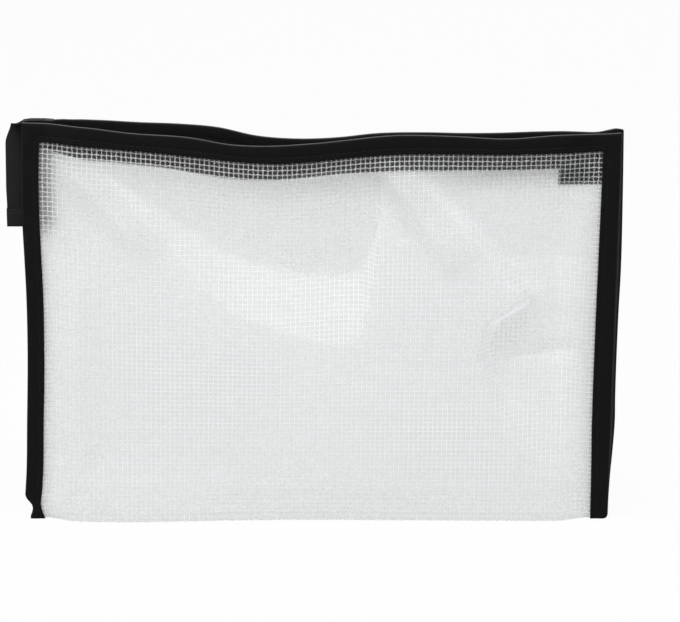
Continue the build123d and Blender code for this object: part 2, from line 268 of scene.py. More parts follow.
def stepped(steps, u, z):
    """How far the film stands out right of each step, falling back further off."""
    total = np.zeros(np.shape(u))
    for u0, z0, u1, z1, width, height in np.array(steps) * MM:
        run = math.hypot(u1 - u0, z1 - z0)
        along = ((u - u0) * (u1 - u0) + (z - z0) * (z1 - z0)) / run
        off = ((u - u0) * (z0 - z1) + (z - z0) * (u1 - u0)) / run
        fade = np.clip(1 - (off - width / 2) / STEP_FADE, 0, 1)
        length_left = 1 - between(along, 0.7 * run, 1.2 * run)
        total += height * between(off, -width / 2, width / 2) * fade * length_left
    return total


def front_billow(u, z):
    """How far the front film stands out: a flat field, a recess right of it and a dent below the rim."""
    depth = panel_half(z) - EDGE_HALF
    taper = side_taper(u)
    edge = smooth_curve(FIELD_EDGE, z)
    fall = np.clip((LEG_X - u) / (LEG_X - edge), 0, 1)
    raised = FILM_BULGE * (1 - between(z, 120 * MM, FIELD_TOP))
    out = (depth + raised) * np.where(u > 0, fall, taper) - depth * taper
    recess = LIP_SLOPE * np.clip(FIELD_TOP - z, 0, RECESS_RUN) * between(z, 15 * MM, 105 * MM)
    out = out - recess * between(u, edge, edge + RECESS_LIP) * taper
    dent = least(DENT_SLOPE * (z - smooth_curve(DENT_FOOT, u)), LIP_SLOPE * (DENT_TOP - z))
    folds = crumple(FRONT_FOLDS, FRONT_BOWLS, u, z) + stepped(FRONT_STEPS, u, z)
    folds = folds * (1 - between(np.abs(u), 140 * MM, 158 * MM))
    out = (out - np.clip(dent, 0, None) + folds) * free_of_rim(z)
    foot = smooth_curve(FRONT_FOOT, u) * (1 - between(np.abs(u), 143 * MM, 159 * MM))
    return foot + (out - foot) * np.clip(z / (40 * MM), 0, 1)


def back_billow(u, z):
    """How far the back film stands out."""
    out = FILM_BULGE * (1 - between(z, 100 * MM, 200 * MM)) + crumple(BACK_FOLDS, BACK_BOWLS, u, z)
    sides = 1 - between(np.abs(u), 125 * MM, 157 * MM)
    return out * sides * between(z, 4 * MM, 45 * MM) * free_of_rim(z)


def pull(u, z):
    """Sideways shift of the bound edges, the gathered foot at the left among them."""
    reach = np.abs(u)
    outer = np.where(u < 0, smooth_curve(LEFT_OUTER, z), smooth_curve(RIGHT_OUTER, z))
    inner = np.where(u < 0, smooth_curve(LEFT_INNER, z), smooth_curve(RIGHT_INNER, z))
    share = np.clip((reach - LEG_X) / (EDGE - LEG_X), 0, 1)
    return (inner + share * (outer - inner)) * between(reach, 132 * MM, LEG_X)


def drape(u, z, side, inset):
    """Points of the standing wallet from flat ones: across, up, front to back, in from the outer face."""
    u, z, side, inset = np.broadcast_arrays(u, z, side, inset)
    sizes = bpy.context.scene.wallet_sizes
    share = (1 + side) / 2
    hem = smooth_curve(FRONT_HEM, u)
    front = hem + (smooth_curve(FRONT_RIM, u) - hem) * between(z, LEG_BOTTOM, TOP - 2 * MM)
    rise = (1 - share) * front + share * smooth_curve(BACK_RIM, u)
    rise = rise * sizes.wave * between(z, 0.12 * TOP, 0.95 * TOP)
    out = (1 - share) * front_billow(u, z) + share * back_billow(u, z)
    x = u + sizes.lean * z / TOP + pull(u, z)
    y = side * (half_depth(u, z) - inset + out * sizes.dents)
    return np.stack([x, y, z + rise], -1)


# Mesh building

STITCH_SIDES = 6
STITCH_STATIONS = (-1, -0.8, -0.4, 0, 0.4, 0.8, 1)
STITCH_SHARE = 0.84


def grid_faces(rows, columns, start=0):
    """Quads of a grid of points that are counted row by row."""
    corner = start + np.arange(rows - 1)[:, None] * columns + np.arange(columns - 1)
    quads = np.stack([corner, corner + columns, corner + columns + 1, corner + 1], -1)
    return quads.reshape(-1, 4)


def ring_faces(rings, sides, start=0):
    """Quads round a tube whose rings are counted one after another, and a face on either end."""
    ring = start + np.arange(rings - 1)[:, None] * sides
    side = np.arange(sides)
    turn = (side + 1) % sides
    quads = np.stack([ring + side, ring + turn, ring + sides + turn, ring + sides + side], -1)
    last = start + (rings - 1) * sides
    first_end = list(range(start + sides - 1, start - 1, -1))
    return [*quads.reshape(-1, 4).tolist(), first_end, list(range(last, last + sides))]


def slab(near, far):
    """A closed thin solid between two grids of points."""
    rows, columns = near.shape[:2]
    count = rows * columns
    border = [(0, j) for j in range(columns)]
    border += [(i, columns - 1) for i in range(1, rows)]
    border += [(rows - 1, j) for j in range(columns - 2, -1, -1)]
    border += [(i, 0) for i in range(rows - 2, 0, -1)]
    rim = [i * columns + j for i, j in border]
    faces = grid_faces(rows, columns).tolist()
    faces += grid_faces(rows, columns, count)[:, ::-1].tolist()
    faces += [[a, b, b + count, a + count] for a, b in zip(rim[1:] + rim[:1], rim)]
    return np.concatenate([near.reshape(-1, 3), far.reshape(-1, 3)]), faces


def grid_points(x, y, z):
    """A grid of points from places that spread over its rows and columns."""
    return np.stack(np.broadcast_arrays(x, y, z), -1)


def tube(path, outward, radius, sides):
    """A round strand along a path, with the side that its first corner faces."""
    along = unit(np.gradient(path, axis=0))
    across = unit(np.cross(along, outward))
    outward = np.cross(across, along)
    turn = np.linspace(0, 2 * np.pi, sides, endpoint=False)[:, None]
    rings = path[:, None] + radius * (np.cos(turn) * outward[:, None] + np.sin(turn) * across[:, None])
    return rings.reshape(-1, 3), ring_faces(len(path), sides)


def joined(parts):
    """Several meshes as one list of points and faces."""
    points, faces, count = [], [], 0
    for part_points, part_faces in parts:
        points.append(part_points)
        faces += [[count + corner for corner in face] for face in part_faces]
        count += len(part_points)
    return np.concatenate(points), faces


def stitches(centres, along, facing):
    """A row of stitches on one face of the cloth: short strands whose ends dip into it."""
    sizes = bpy.context.scene.wallet_sizes
    length = sizes.stitch_pitch * STITCH_SHARE
    radius = sizes.thread_radius
    turn = np.linspace(0, 2 * np.pi, STITCH_SIDES, endpoint=False)
    outward = np.tile((0.0, facing, 0.0), (len(centres), 1))
    across = unit(np.cross(along, outward))
    parts = []
    for t in STITCH_STATIONS:
        girth = radius * max(math.sqrt(1 - t * t), 0.25)
        middle = centres + along * (t * length / 2) - outward * (radius * t**4)
        ring = np.cos(turn)[:, None] * outward[:, None] + np.sin(turn)[:, None] * across[:, None]
        parts.append(middle[:, None] + girth * ring)
    rings = len(parts)
    faces = []
    for i in range(len(centres)):
        faces += ring_faces(rings, STITCH_SIDES, i * rings * STITCH_SIDES)
    return np.stack(parts, 1).reshape(-1, 3), faces


def symmetric(right):
    """Corners on the right, from the top down, with the same ones on the left."""
    left = [(-x, y, radius) for x, y, radius in right]
    return [left[0], *right, *left[:0:-1]]


def rounded(corners, steps=5):
    """An outline of corners, each with its own radius, as points."""
    points = []
    count = len(corners)
    for i, (x, y, radius) in enumerate(corners):
        here = Vector((x, y))
        back = Vector(corners[i - 1][:2]) - here
        ahead = Vector(corners[(i + 1) % count][:2]) - here
        if radius == 0:
            points.append(here)
            continue
        half = back.angle(ahead) / 2
        reach = radius / math.tan(half)
        start = here + back.normalized() * reach
        end = here + ahead.normalized() * reach
        middle = here + (back.normalized() + ahead.normalized()).normalized() * (radius / math.sin(half))
        for k in range(steps + 1):
            spoke = (start - middle).lerp(end - middle, k / steps)
            points.append(middle + spoke.normalized() * radius)
    return points


def circle(x, y, radius, steps=24):
    """A round hole's outline."""
    turn = [2 * math.pi * k / steps for k in range(steps)]
    return [Vector((x + radius * math.cos(a), y + radius * math.sin(a))) for a in turn]


def cut_plate(outlines, thickness, bevel):
    """A plate with rounded edges, cut to an outline with holes, in millimetres, as points and faces."""
    curve = bpy.data.curves.new("outline", "CURVE")
    curve.dimensions = "2D"
    curve.fill_mode = "BOTH"
    curve.extrude = thickness / 2 - bevel
    curve.bevel_depth = bevel
    curve.bevel_resolution = 2
    curve.offset = -bevel
    for outline in outlines:
        spline = curve.splines.new("POLY")
        spline.points.add(len(outline) - 1)
        for point, corner in zip(spline.points, outline):
            point.co = (corner.x, corner.y, 0, 1)
        spline.use_cyclic_u = True
    holder = bpy.data.objects.new("outline", curve)
    bpy.context.collection.objects.link(holder)
    bpy.context.view_layer.update()
    mesh = bpy.data.meshes.new_from_object(holder.evaluated_get(bpy.context.evaluated_depsgraph_get()))
    points = np.array([v.co for v in mesh.vertices], float)
    faces = [list(p.vertices) for p in mesh.polygons]
    bpy.data.objects.remove(holder)
    bpy.data.curves.remove(curve)
    bpy.data.meshes.remove(mesh)
    return points, faces


def stood_up(plate, x, y, z):
    """A plate stood up in the plane of the tail."""
    points, faces = plate
    return np.array((x, y, z)) + points[:, (0, 2, 1)] * MM, faces


def make_object(name, mesh_data, material, crease=35):
    """An object of points and faces, smooth but for its creases."""
    points, faces = mesh_data
    mesh = bpy.data.meshes.new(name)
    mesh.from_pydata(np.asarray(points).tolist(), [], faces)
    cleaner = bmesh.new()
    cleaner.from_mesh(mesh)
    bmesh.ops.remove_doubles(cleaner, verts=cleaner.verts, dist=1e-7)
    bmesh.ops.recalc_face_normals(cleaner, faces=cleaner.faces)
    cleaner.to_mesh(mesh)
    cleaner.free()
    return dress(mesh, name, material, crease)


def dress(mesh, name, material, crease):
    """An object that shows a mesh in its material."""
    mesh.polygons.foreach_set("use_smooth", np.ones(len(mesh.polygons), bool))
    mesh.set_sharp_from_angle(angle=math.radians(crease))
    mesh.materials.append(material)
    made = bpy.data.objects.new(name, mesh)
    bpy.context.collection.objects.link(made)
    return made


def mesh_points(made):
    """Places of a piece's points, a row each."""
    points = np.zeros(len(made.data.vertices) * 3, np.float32)
    made.data.vertices.foreach_get("co", points)
    return points.reshape(-1, 3).astype(float)


def set_points(made, points):
    """Put a piece's points in new places."""
    made.data.vertices.foreach_set("co", points.astype(np.float32).ravel())


def place(made, body, *nodes):
    """Fix a piece to a body, in place of the solids that it stands for."""
    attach(made, body)
    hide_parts(*nodes)


def bend(made, still, moving, weigh, *nodes):
    """Weigh each point of a piece, put its points back as they were, and hide the solids that it stands for.
    """
    points = mesh_points(made)
    ramp = np.zeros(points.shape)
    ramp[:, 2] = weigh(points)
    set_points(made, ramp)
    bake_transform(made)
    set_points(made, points)
    made.data.update()
    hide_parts(*nodes)


# Node groups and materials

# Colour of the painted highlight along the bindings' folds
PAINTED_FOLD_HIGHLIGHT = (0.11, 0.11, 0.113, 1)
BARE_METAL = (0.35, 0.35, 0.36, 1)
WHITE = (1, 1, 1, 1)


def add(tree, kind, inputs=None, **settings):
    """A node with its settings, values and links."""
    made = tree.nodes.new(kind)
    for key, value in settings.items():
        setattr(made, key, value)
    for key, value in (inputs or {}).items():
        if isinstance(value, bpy.types.NodeSocket):
            tree.links.new(value, made.inputs[key])
        else:
            made.inputs[key].default_value = value
    return made


def math_node(tree, operation, *values):
    """The result of a sum on values from the surface."""
    return add(tree, "ShaderNodeMath", dict(enumerate(values)), operation=operation).outputs[0]


def mix_colour(tree, share, first, second):
    """A colour between two others."""
    return add(tree, "ShaderNodeMix", {0: share, 6: first, 7: second}, data_type="RGBA").outputs[2]


def mix_shader(tree, share, first, second):
    """A shader between two others."""
    return add(tree, "ShaderNodeMixShader", {0: share, 1: first, 2: second}).outputs[0]


def piece_place(tree):
    """Where a point lies on its piece, in metres."""
    return add(tree, "ShaderNodeTexCoord").outputs["Object"]


def tape_place(tree):
    """How far along and how far up a tape a point lies."""
    split = add(tree, "ShaderNodeSeparateXYZ", {0: piece_place(tree)})
    return math_node(tree, "ADD", split.outputs["X"], split.outputs["Y"]), split.outputs["Z"]


def noise(tree, **values):
    """Noise over the piece, about one half."""
    return add(tree, "ShaderNodeTexNoise", {"Vector": piece_place(tree), **values}).outputs["Fac"]


def new_group(name, inputs, output):
    """An empty node group with its sockets, the given values and where its result goes."""
    group = bpy.data.node_groups.new(name, "ShaderNodeTree")
    for label, default in inputs.items():
        socket = group.interface.new_socket(name=label, in_out="INPUT", socket_type="NodeSocketFloat")
        socket.default_value = default
    group.interface.new_socket(name=output, in_out="OUTPUT", socket_type="NodeSocketFloat")
    given = add(group, "NodeGroupInput").outputs
    return group, given, add(group, "NodeGroupOutput").inputs[output]


def thread_backs(tree, count):
    """Round backs of threads that lie side by side, one to each whole number."""
    return math_node(tree, "ABSOLUTE", math_node(tree, "SINE", math_node(tree, "MULTIPLY", count, math.pi)))


def plain_weave_group():
    """Threads over and under one another, in the plane of the tapes."""
    group, given, result = new_group("plain_weave", {"Threads": 3000.0, "Slant": 0.0}, "Height")
    level, height = tape_place(group)
    slanted = math_node(group, "ADD", height, math_node(group, "MULTIPLY", given["Slant"], level))
    across = math_node(group, "MULTIPLY", level, given["Threads"])
    up = math_node(group, "MULTIPLY", slanted, given["Threads"])
    squares = math_node(group, "ADD", math_node(group, "FLOOR", across), math_node(group, "FLOOR", up))
    over = math_node(group, "PINGPONG", squares, 1.0)
    under = math_node(group, "SUBTRACT", 1.0, over)
    warp = math_node(group, "MULTIPLY", thread_backs(group, across), over)
    weft = math_node(group, "MULTIPLY", thread_backs(group, up), under)
    group.links.new(math_node(group, "ADD", warp, weft), result)
    return group


def herringbone_group():
    """Twill ribs that turn at each band, as on zip tape."""
    group, given, result = new_group("herringbone", {"Ribs": 1400.0, "Bands": 420.0}, "Height")
    level, height = tape_place(group)
    turned = math_node(group, "PINGPONG", math_node(group, "MULTIPLY", height, given["Bands"]), 0.5)
    shift = math_node(group, "MULTIPLY", turned, 3.0)
    phase = math_node(group, "ADD", math_node(group, "MULTIPLY", level, given["Ribs"]), shift)
    wave = math_node(group, "SINE", math_node(group, "MULTIPLY", phase, 2 * math.pi))
    group.links.new(math_node(group, "MULTIPLY_ADD", wave, 0.5, 0.5), result)
    return group


def mottle_group():
    """Slow and fine unevenness of a surface, about one half."""
    group, given, result = new_group("mottle", {"Scale": 300.0, "Detail": 4.0}, "Value")
    uneven = noise(group, Scale=given["Scale"], Detail=given["Detail"], Roughness=0.6)
    group.links.new(uneven, result)
    return group


def wear_and_highlight_group():
    """A stored mask, broken up by noise: a painted highlight along the bindings' folds, and rubbed paint at
    metal edges.
    """
    group, given, result = new_group("wear_and_highlight_mask", {"Amount": 1.0, "Scale": 900.0}, "Mask")
    stored_wear_and_highlight = add(group, "ShaderNodeAttribute", attribute_name="wear_and_highlight").outputs["Fac"]
    patchy = math_node(group, "ADD", noise(group, Scale=given["Scale"], Detail=3.0), 0.35)
    broken = math_node(group, "MULTIPLY", stored_wear_and_highlight, patchy)
    group.links.new(math_node(group, "MULTIPLY", broken, given["Amount"]), result)
    return group


GROUPS = {
    "plain_weave": plain_weave_group,
    "herringbone": herringbone_group,
    "mottle": mottle_group,
    "wear_and_highlight_mask": wear_and_highlight_group,
}


def use_group(tree, name, **values):
    """The result of a node group placed in a material with its own values."""
    group = bpy.data.node_groups.get(name) or GROUPS[name]()
    made = add(tree, "ShaderNodeGroup", node_tree=group)
    for label, value in values.items():
        made.inputs[label].default_value = value
    return made.outputs[0]


def new_material(name):
    """A material with its Principled shader joined to the output."""
    material = bpy.data.materials.new(name)
    material.use_nodes = True
    return material, material.node_tree, material.node_tree.nodes["Principled BSDF"]


def shade(colour, share):
    """A colour made lighter or darker."""
    return (*(min(1.0, part * share) for part in colour), 1.0)


def tint(tree, shader, colour):
    """Join a colour that changes over the surface to a shader."""
    tree.links.new(colour, shader.inputs["Base Color"])


def roughen(tree, shader, value, spread, lowest):
    """Roughness that follows a value over the surface."""
    rough = math_node(tree, "MULTIPLY_ADD", value, spread, lowest)
    tree.links.new(rough, shader.inputs["Roughness"])
    return rough


def relief(tree, shader, height, depth):
    """Bump from a height, in metres."""
    bump = add(tree, "ShaderNodeBump", {"Strength": 1.0, "Distance": depth, "Height": height})
    tree.links.new(bump.outputs["Normal"], shader.inputs["Normal"])


def show(tree, surface):
    """Join a surface to the material's output."""
    tree.links.new(surface, tree.nodes["Material Output"].inputs["Surface"])


def film_material():
    """Glossy film that blurs what is far behind it and shows what lies close behind it."""
    finish = bpy.context.scene.wallet_finish
    material, tree, shader = new_material("mesh_film")
    cloud = use_group(tree, "mottle", Scale=22.0, Detail=3.0)
    grain = use_group(tree, "mottle", Scale=900.0, Detail=2.0)
    tint(tree, shader, mix_colour(tree, cloud, shade(finish.film, 0.97), shade(finish.film, 1.03)))
    rough = roughen(tree, shader, grain, 0.12, finish.film_roughness - 0.06)
    relief(tree, shader, grain, 0.02 * MM)
    milk = add(tree, "ShaderNodeBsdfTranslucent", {"Color": shade(finish.film, 1)}).outputs[0]
    hazy = mix_shader(tree, finish.haze, milk, shader.outputs[0])
    clear = add(tree, "ShaderNodeBsdfTransparent", {"Color": shade(finish.film, 1)}).outputs[0]
    body = mix_shader(tree, finish.milk, clear, hazy)
    gloss = add(tree, "ShaderNodeBsdfAnisotropic", {"Color": WHITE, "Roughness": rough}).outputs[0]
    facing = add(tree, "ShaderNodeLayerWeight", {"Blend": 0.5}).outputs["Facing"]
    mirror = math_node(tree, "MULTIPLY_ADD", math_node(tree, "POWER", facing, 5.0), 0.6, finish.gloss)
    show(tree, mix_shader(tree, mirror, body, gloss))
    return material


def scrim_material():
    """White yarn that glows with the light behind it."""
    finish = bpy.context.scene.wallet_finish
    material, tree, shader = new_material("scrim_yarn")
    fibre = use_group(tree, "mottle", Scale=1500.0, Detail=4.0)
    tint(tree, shader, mix_colour(tree, fibre, shade(finish.scrim, 0.9), shade(finish.scrim, 1.06)))
    roughen(tree, shader, fibre, 0.4, 0.5)
    relief(tree, shader, fibre, 0.05 * MM)
    glow = add(tree, "ShaderNodeBsdfTranslucent", {"Color": shade(finish.scrim, 0.98)}).outputs[0]
    show(tree, mix_shader(tree, finish.yarn_glow, shader.outputs[0], glow))
    return material


def cloth_material(name, colour, pattern, weave_depth, **values):
    """Black woven tape: its weave, with painted shade in its hollows, its lint, and a painted highlight along
    its folds.
    """
    material, tree, shader = new_material(name)
    weave = use_group(tree, pattern, **values)
    lint = use_group(tree, "mottle", Scale=260.0, Detail=5.0)
    wear_and_highlight = use_group(tree, "wear_and_highlight_mask", Amount=0.9)
    # Colour follows the weave's height: painted shade in its hollows, lighter thread backs
    weave_shade = mix_colour(tree, weave, shade(colour, 0.5), shade(colour, 1.4))
    dusty = mix_colour(tree, math_node(tree, "MULTIPLY", lint, 0.4), weave_shade, shade(colour, 2.2))
    # Painted highlight: lighter where the stored mask marks a fold's crest
    tint(tree, shader, mix_colour(tree, wear_and_highlight, dusty, PAINTED_FOLD_HIGHLIGHT))
    roughen(tree, shader, lint, 0.3, 0.6)
    relief(tree, shader, weave, weave_depth)
    shader.inputs["Specular IOR Level"].default_value = 0.06
    return material


def binding_material():
    """Flat woven tape on the edges."""
    colour = bpy.context.scene.wallet_finish.binding
    return cloth_material("edge_tape_cloth", colour, "plain_weave", 0.12 * MM, Threads=2600.0)


def zip_tape_material():
    """Twill tape of the zip."""
    colour = bpy.context.scene.wallet_finish.zip_tape
    return cloth_material("zip_tape_cloth", colour, "herringbone", 0.1 * MM)


def thread_material():
    """Twisted sewing thread."""
    colour = bpy.context.scene.wallet_finish.thread
    return cloth_material("sewing_thread", colour, "plain_weave", 0.05 * MM, Threads=5200.0, Slant=0.8)


def coil_material():
    """Nylon strand, a little shiny."""
    colour = bpy.context.scene.wallet_finish.coil
    material, tree, shader = new_material("coil_nylon")
    fleck = use_group(tree, "mottle", Scale=700.0, Detail=3.0)
    tint(tree, shader, mix_colour(tree, fleck, shade(colour, 0.8), shade(colour, 1.5)))
    roughen(tree, shader, fleck, 0.2, 0.28)
    return material


def metal_material():
    """Black paint on cast metal, thin at its edges."""
    colour = bpy.context.scene.wallet_finish.metal
    material, tree, shader = new_material("slider_paint")
    cast = use_group(tree, "mottle", Scale=420.0, Detail=6.0)
    wear_and_highlight = use_group(tree, "wear_and_highlight_mask", Amount=0.8, Scale=700.0)
    paint = mix_colour(tree, cast, shade(colour, 0.8), shade(colour, 1.5))
    tint(tree, shader, mix_colour(tree, wear_and_highlight, paint, BARE_METAL))
    tree.links.new(wear_and_highlight, shader.inputs["Metallic"])
    roughen(tree, shader, cast, 0.25, 0.22)
    relief(tree, shader, cast, 0.04 * MM)
    shader.inputs["Coat Weight"].default_value = 0.4
    shader.inputs["Coat Roughness"].default_value = 0.2
    return material


MATERIALS = {
    "mesh_film": film_material,
    "scrim_yarn": scrim_material,
    "edge_tape_cloth": binding_material,
    "zip_tape_cloth": zip_tape_material,
    "sewing_thread": thread_material,
    "coil_nylon": coil_material,
    "slider_paint": metal_material,
}


def finish_of(name):
    """A finish by name, built when it is first asked for."""
    return bpy.data.materials.get(name) or MATERIALS[name]()


def mark_painted_highlight(made, wear_and_highlight):
    """Store how much painted highlight each point of a piece takes."""
    layer = made.data.attributes.new("wear_and_highlight", "FLOAT", "POINT")
    layer.data.foreach_set("value", wear_and_highlight.astype(np.float32))


# Sheet

FOLD_STATIONS = 7
FOLD_RADIUS = 1.2 * MM
YARN_WANDER = 0.06 * MM
YARN_LOOP = 0.13 * MM


def sheet_path():
    """Stations down the front, round the base and up the back: flat distance, side, inset and height."""
    turn = np.linspace(0, np.pi / 2, FOLD_STATIONS)
    inset = SHEET_MID + FOLD_RADIUS * (1 - np.cos(turn))
    height = SHEET_MID + FOLD_RADIUS * (1 - np.sin(turn))
    side = np.repeat((FRONT, BACK), FOLD_STATIONS + 1)
    inset = np.concatenate([[SHEET_MID], inset, inset[::-1], [SHEET_MID]])
    height = np.concatenate([[PANEL_TOP], height, height[::-1], [PANEL_TOP]])
    run = np.hypot(np.diff(side * (BASE_HALF - inset)), np.diff(height))
    return np.concatenate([[0], np.cumsum(run)]), side, inset, height


def sheet_points(across, along):
    """Points of the sheet on a grid of flat places."""
    distance, side, inset, height = sheet_path()
    bent = [np.interp(along[:, None], distance, part) for part in (height, side, inset)]
    return drape(across[None, :], *bent)


def sheet_frame(points):
    """Unit steps along and across the sheet, and its outward direction."""
    along = unit(np.gradient(points, axis=0))
    across = unit(np.gradient(points, axis=1))
    return along, across, unit(np.cross(along, across))


def scrim_lines():
    """Flat places of the scrim's yarns, across and along the sheet, and the sheet's length."""
    pitch = bpy.context.scene.wallet_sizes.scrim_pitch
    length = sheet_path()[0][-1]
    columns = int(2 * PANEL_EDGE / pitch) + 1
    rows = int(length / pitch) + 1
    return np.linspace(-PANEL_EDGE, PANEL_EDGE, columns), np.linspace(0, length, rows), length


def halved(lines):
    """The same places with one more half way between each two."""
    return np.interp(np.arange(2 * len(lines) - 1) / 2, np.arange(len(lines)), lines)


def yarns(lines, across, outward, width, height):
    """Yarns along lines of centres, each a low ridge pressed on the film."""
    crest = lines + outward * height
    ridges = np.stack([lines - across * width / 2, crest, lines + across * width / 2], 2)
    count, stations = lines.shape[:2]
    faces = np.concatenate([grid_faces(stations, 3, i * stations * 3) for i in range(count)])
    return ridges.reshape(-1, 3), faces.tolist()


class WALLET_OT_clear_sheet(bpy.types.Operator):
    """Build the clear film, one sheet folded at the base and pressed round the yarns"""

    bl_idname = "wallet.clear_sheet"
    bl_label = "Clear sheet"

    def execute(self, context):
        across, along, length = scrim_lines()
        points = sheet_points(halved(across), halved(along))
        outward = sheet_frame(points)[2]
        on_row = (np.arange(points.shape[0]) % 2 == 0)[:, None]
        on_column = (np.arange(points.shape[1]) % 2 == 0)[None, :]
        swell = context.scene.wallet_sizes.scrim_swell * (on_row * 0.6 + on_column * 0.4)
        points = points + outward * swell[..., None]
        mesh = bpy.data.meshes.new("clear_sheet")
        mesh.from_pydata(points.reshape(-1, 3).tolist(), [], grid_faces(*points.shape[:2]).tolist())
        film = dress(mesh, "clear_sheet", finish_of("mesh_film"), 60)
        place(film, "wallet", "front_panel", "back_panel", "base_fold")
        return {"FINISHED"}


class WALLET_OT_scrim(bpy.types.Operator):
    """Lay the white yarns that cross inside the film"""

    bl_idname = "wallet.scrim"
    bl_label = "Scrim yarns"

    def execute(self, context):
        sizes = context.scene.wallet_sizes
        across, along, _ = scrim_lines()
        points = sheet_points(halved(across), halved(along))
        down, right, outward = sheet_frame(points)
        row, column = np.indices(points.shape[:2])[..., None]
        chance = np.random.default_rng(11)
        over = (row // 2 + column // 2) % 2 * 2 - 1
        on_cross = (row % 2 == 0) & (column % 2 == 0)
        wander = chance.normal(0, YARN_WANDER, (*points.shape[:2], 1))
        loop = YARN_LOOP * over * on_cross + wander
        full = np.where(on_cross, 1.15, 0.88) * chance.uniform(0.9, 1.1, (*points.shape[:2], 1))
        thick = 1 + 0.1 * over * on_cross
        width = sizes.scrim_width * full
        height = sizes.scrim_height * full
        weave = outward * (sizes.scrim_height * 0.25) * over * on_cross
        warp = (points + weave + right * loop, right, outward, width * 0.9, height * thick)
        weft = (points - weave + down * loop, -down, outward, width, height / thick)
        warp = yarns(*(part[:, ::2].swapaxes(0, 1) for part in warp))
        weft = yarns(*(part[::2] for part in weft))
        for name, (places, faces) in (("scrim_upright_yarns", warp), ("scrim_level_yarns", weft)):
            mesh = bpy.data.meshes.new(name)
            mesh.from_pydata(places.tolist(), [], faces)
            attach(dress(mesh, name, finish_of("scrim_yarn"), 80), "wallet")
        return {"FINISHED"}


# Bindings

LEG_RISES = np.array((0, 0.7, 2.0, 3.0, 4.0, 6.0, 8.0)) * MM
LEG_SWELL = np.array((0.15, 0, 0.04, 0.26, 0.04, -0.06, -0.03)) * MM
LEG_REACH = 8 * MM
FOLD_TURN = np.linspace(0, np.pi, 13)
SPINE_STATIONS = 5
SEAM_IN = 3 * MM
SEAM_BED = 0.26 * MM


def top_profile():
    """Outer and inner skin of a top binding from leg to leg, as inset and height."""
    middle = (OUTER_FACE + INNER_FACE) / 2
    half = (INNER_FACE - OUTER_FACE) / 2
    rises = LEG_BOTTOM + LEG_RISES
    skins = []
    for thin, swell in ((0, LEG_SWELL), (BINDING, 0 * LEG_SWELL)):
        radius = half - thin
        fold_in = middle - radius * np.cos(FOLD_TURN)
        fold_up = TOP - half + radius * np.sin(FOLD_TURN)
        inset = np.concatenate([OUTER_FACE + thin + swell, fold_in, (INNER_FACE - thin - swell)[::-1]])
        skins.append((inset, np.concatenate([rises, fold_up, rises[::-1]])))
    return skins


def side_profile(hand):
    """Outer and inner skin of a side binding from the front leg to the back leg, as across and side."""
    leg_u = LEG_X + LEG_RISES / LEG_REACH * (EDGE - LEG_X - 2.2 * MM)
    turn = np.linspace(0, np.pi / 2, 6)
    skins = []
    for thin, radius, swell in ((0, 1.3 * MM, LEG_SWELL), (BINDING, 0.5 * MM, 0 * LEG_SWELL)):
        face = EDGE_HALF - OUTER_FACE - thin
        fold_u = EDGE - thin - radius + radius * np.sin(turn)
        fold_y = face - radius + radius * np.cos(turn)
        spine_u = np.full(SPINE_STATIONS, EDGE - thin)
        spine_y = np.linspace(-1, 1, SPINE_STATIONS + 2)[1:-1] * fold_y[-1]
        u = np.concatenate([leg_u, fold_u, spine_u, fold_u[::-1], leg_u[::-1]])
        y = np.concatenate([swell - face, -fold_y, spine_y, fold_y[::-1], (face - swell)[::-1]])
        skins.append((hand * u, y, y / face))
    return skins


def mitre(depth_share):
    """How far a top binding reaches along the rim at a share of its leg's depth."""
    return EDGE - (EDGE - LEG_X) * np.clip(depth_share, 0, 1)


class WALLET_OT_top_bindings(bpy.types.Operator):
    """Fold a woven tape over the front rim and another over the back rim"""

    bl_idname = "wallet.top_bindings"
    bl_label = "Top bindings"

    def execute(self, context):
        cloth = finish_of("edge_tape_cloth")
        stations = np.linspace(-1, 1, 221)[:, None]
        for side, name in PANELS:
            skins = []
            for inset, height in top_profile():
                u = stations * mitre((TOP - height) / (TOP - LEG_BOTTOM))[None, :]
                ripple = 0.07 * MM * np.sin(u / (9 * MM)) * (height < LEG_BOTTOM + 5 * MM)
                skins.append(drape(u, height + ripple, side, inset))
            made = make_object(f"{name}_rim_tape", slab(*skins), cloth, 50)
            points = mesh_points(made)
            rise = smooth_curve(RIMS[side], points[:, 0] - context.scene.wallet_sizes.lean)
            # Painted highlight: a lighter line along the top 0.3 mm of the fold's crest
            mark_painted_highlight(made, between(points[:, 2] - rise, TOP - 0.3 * MM, TOP))
            place(made, "wallet", f"{name}_top_binding")
        return {"FINISHED"}


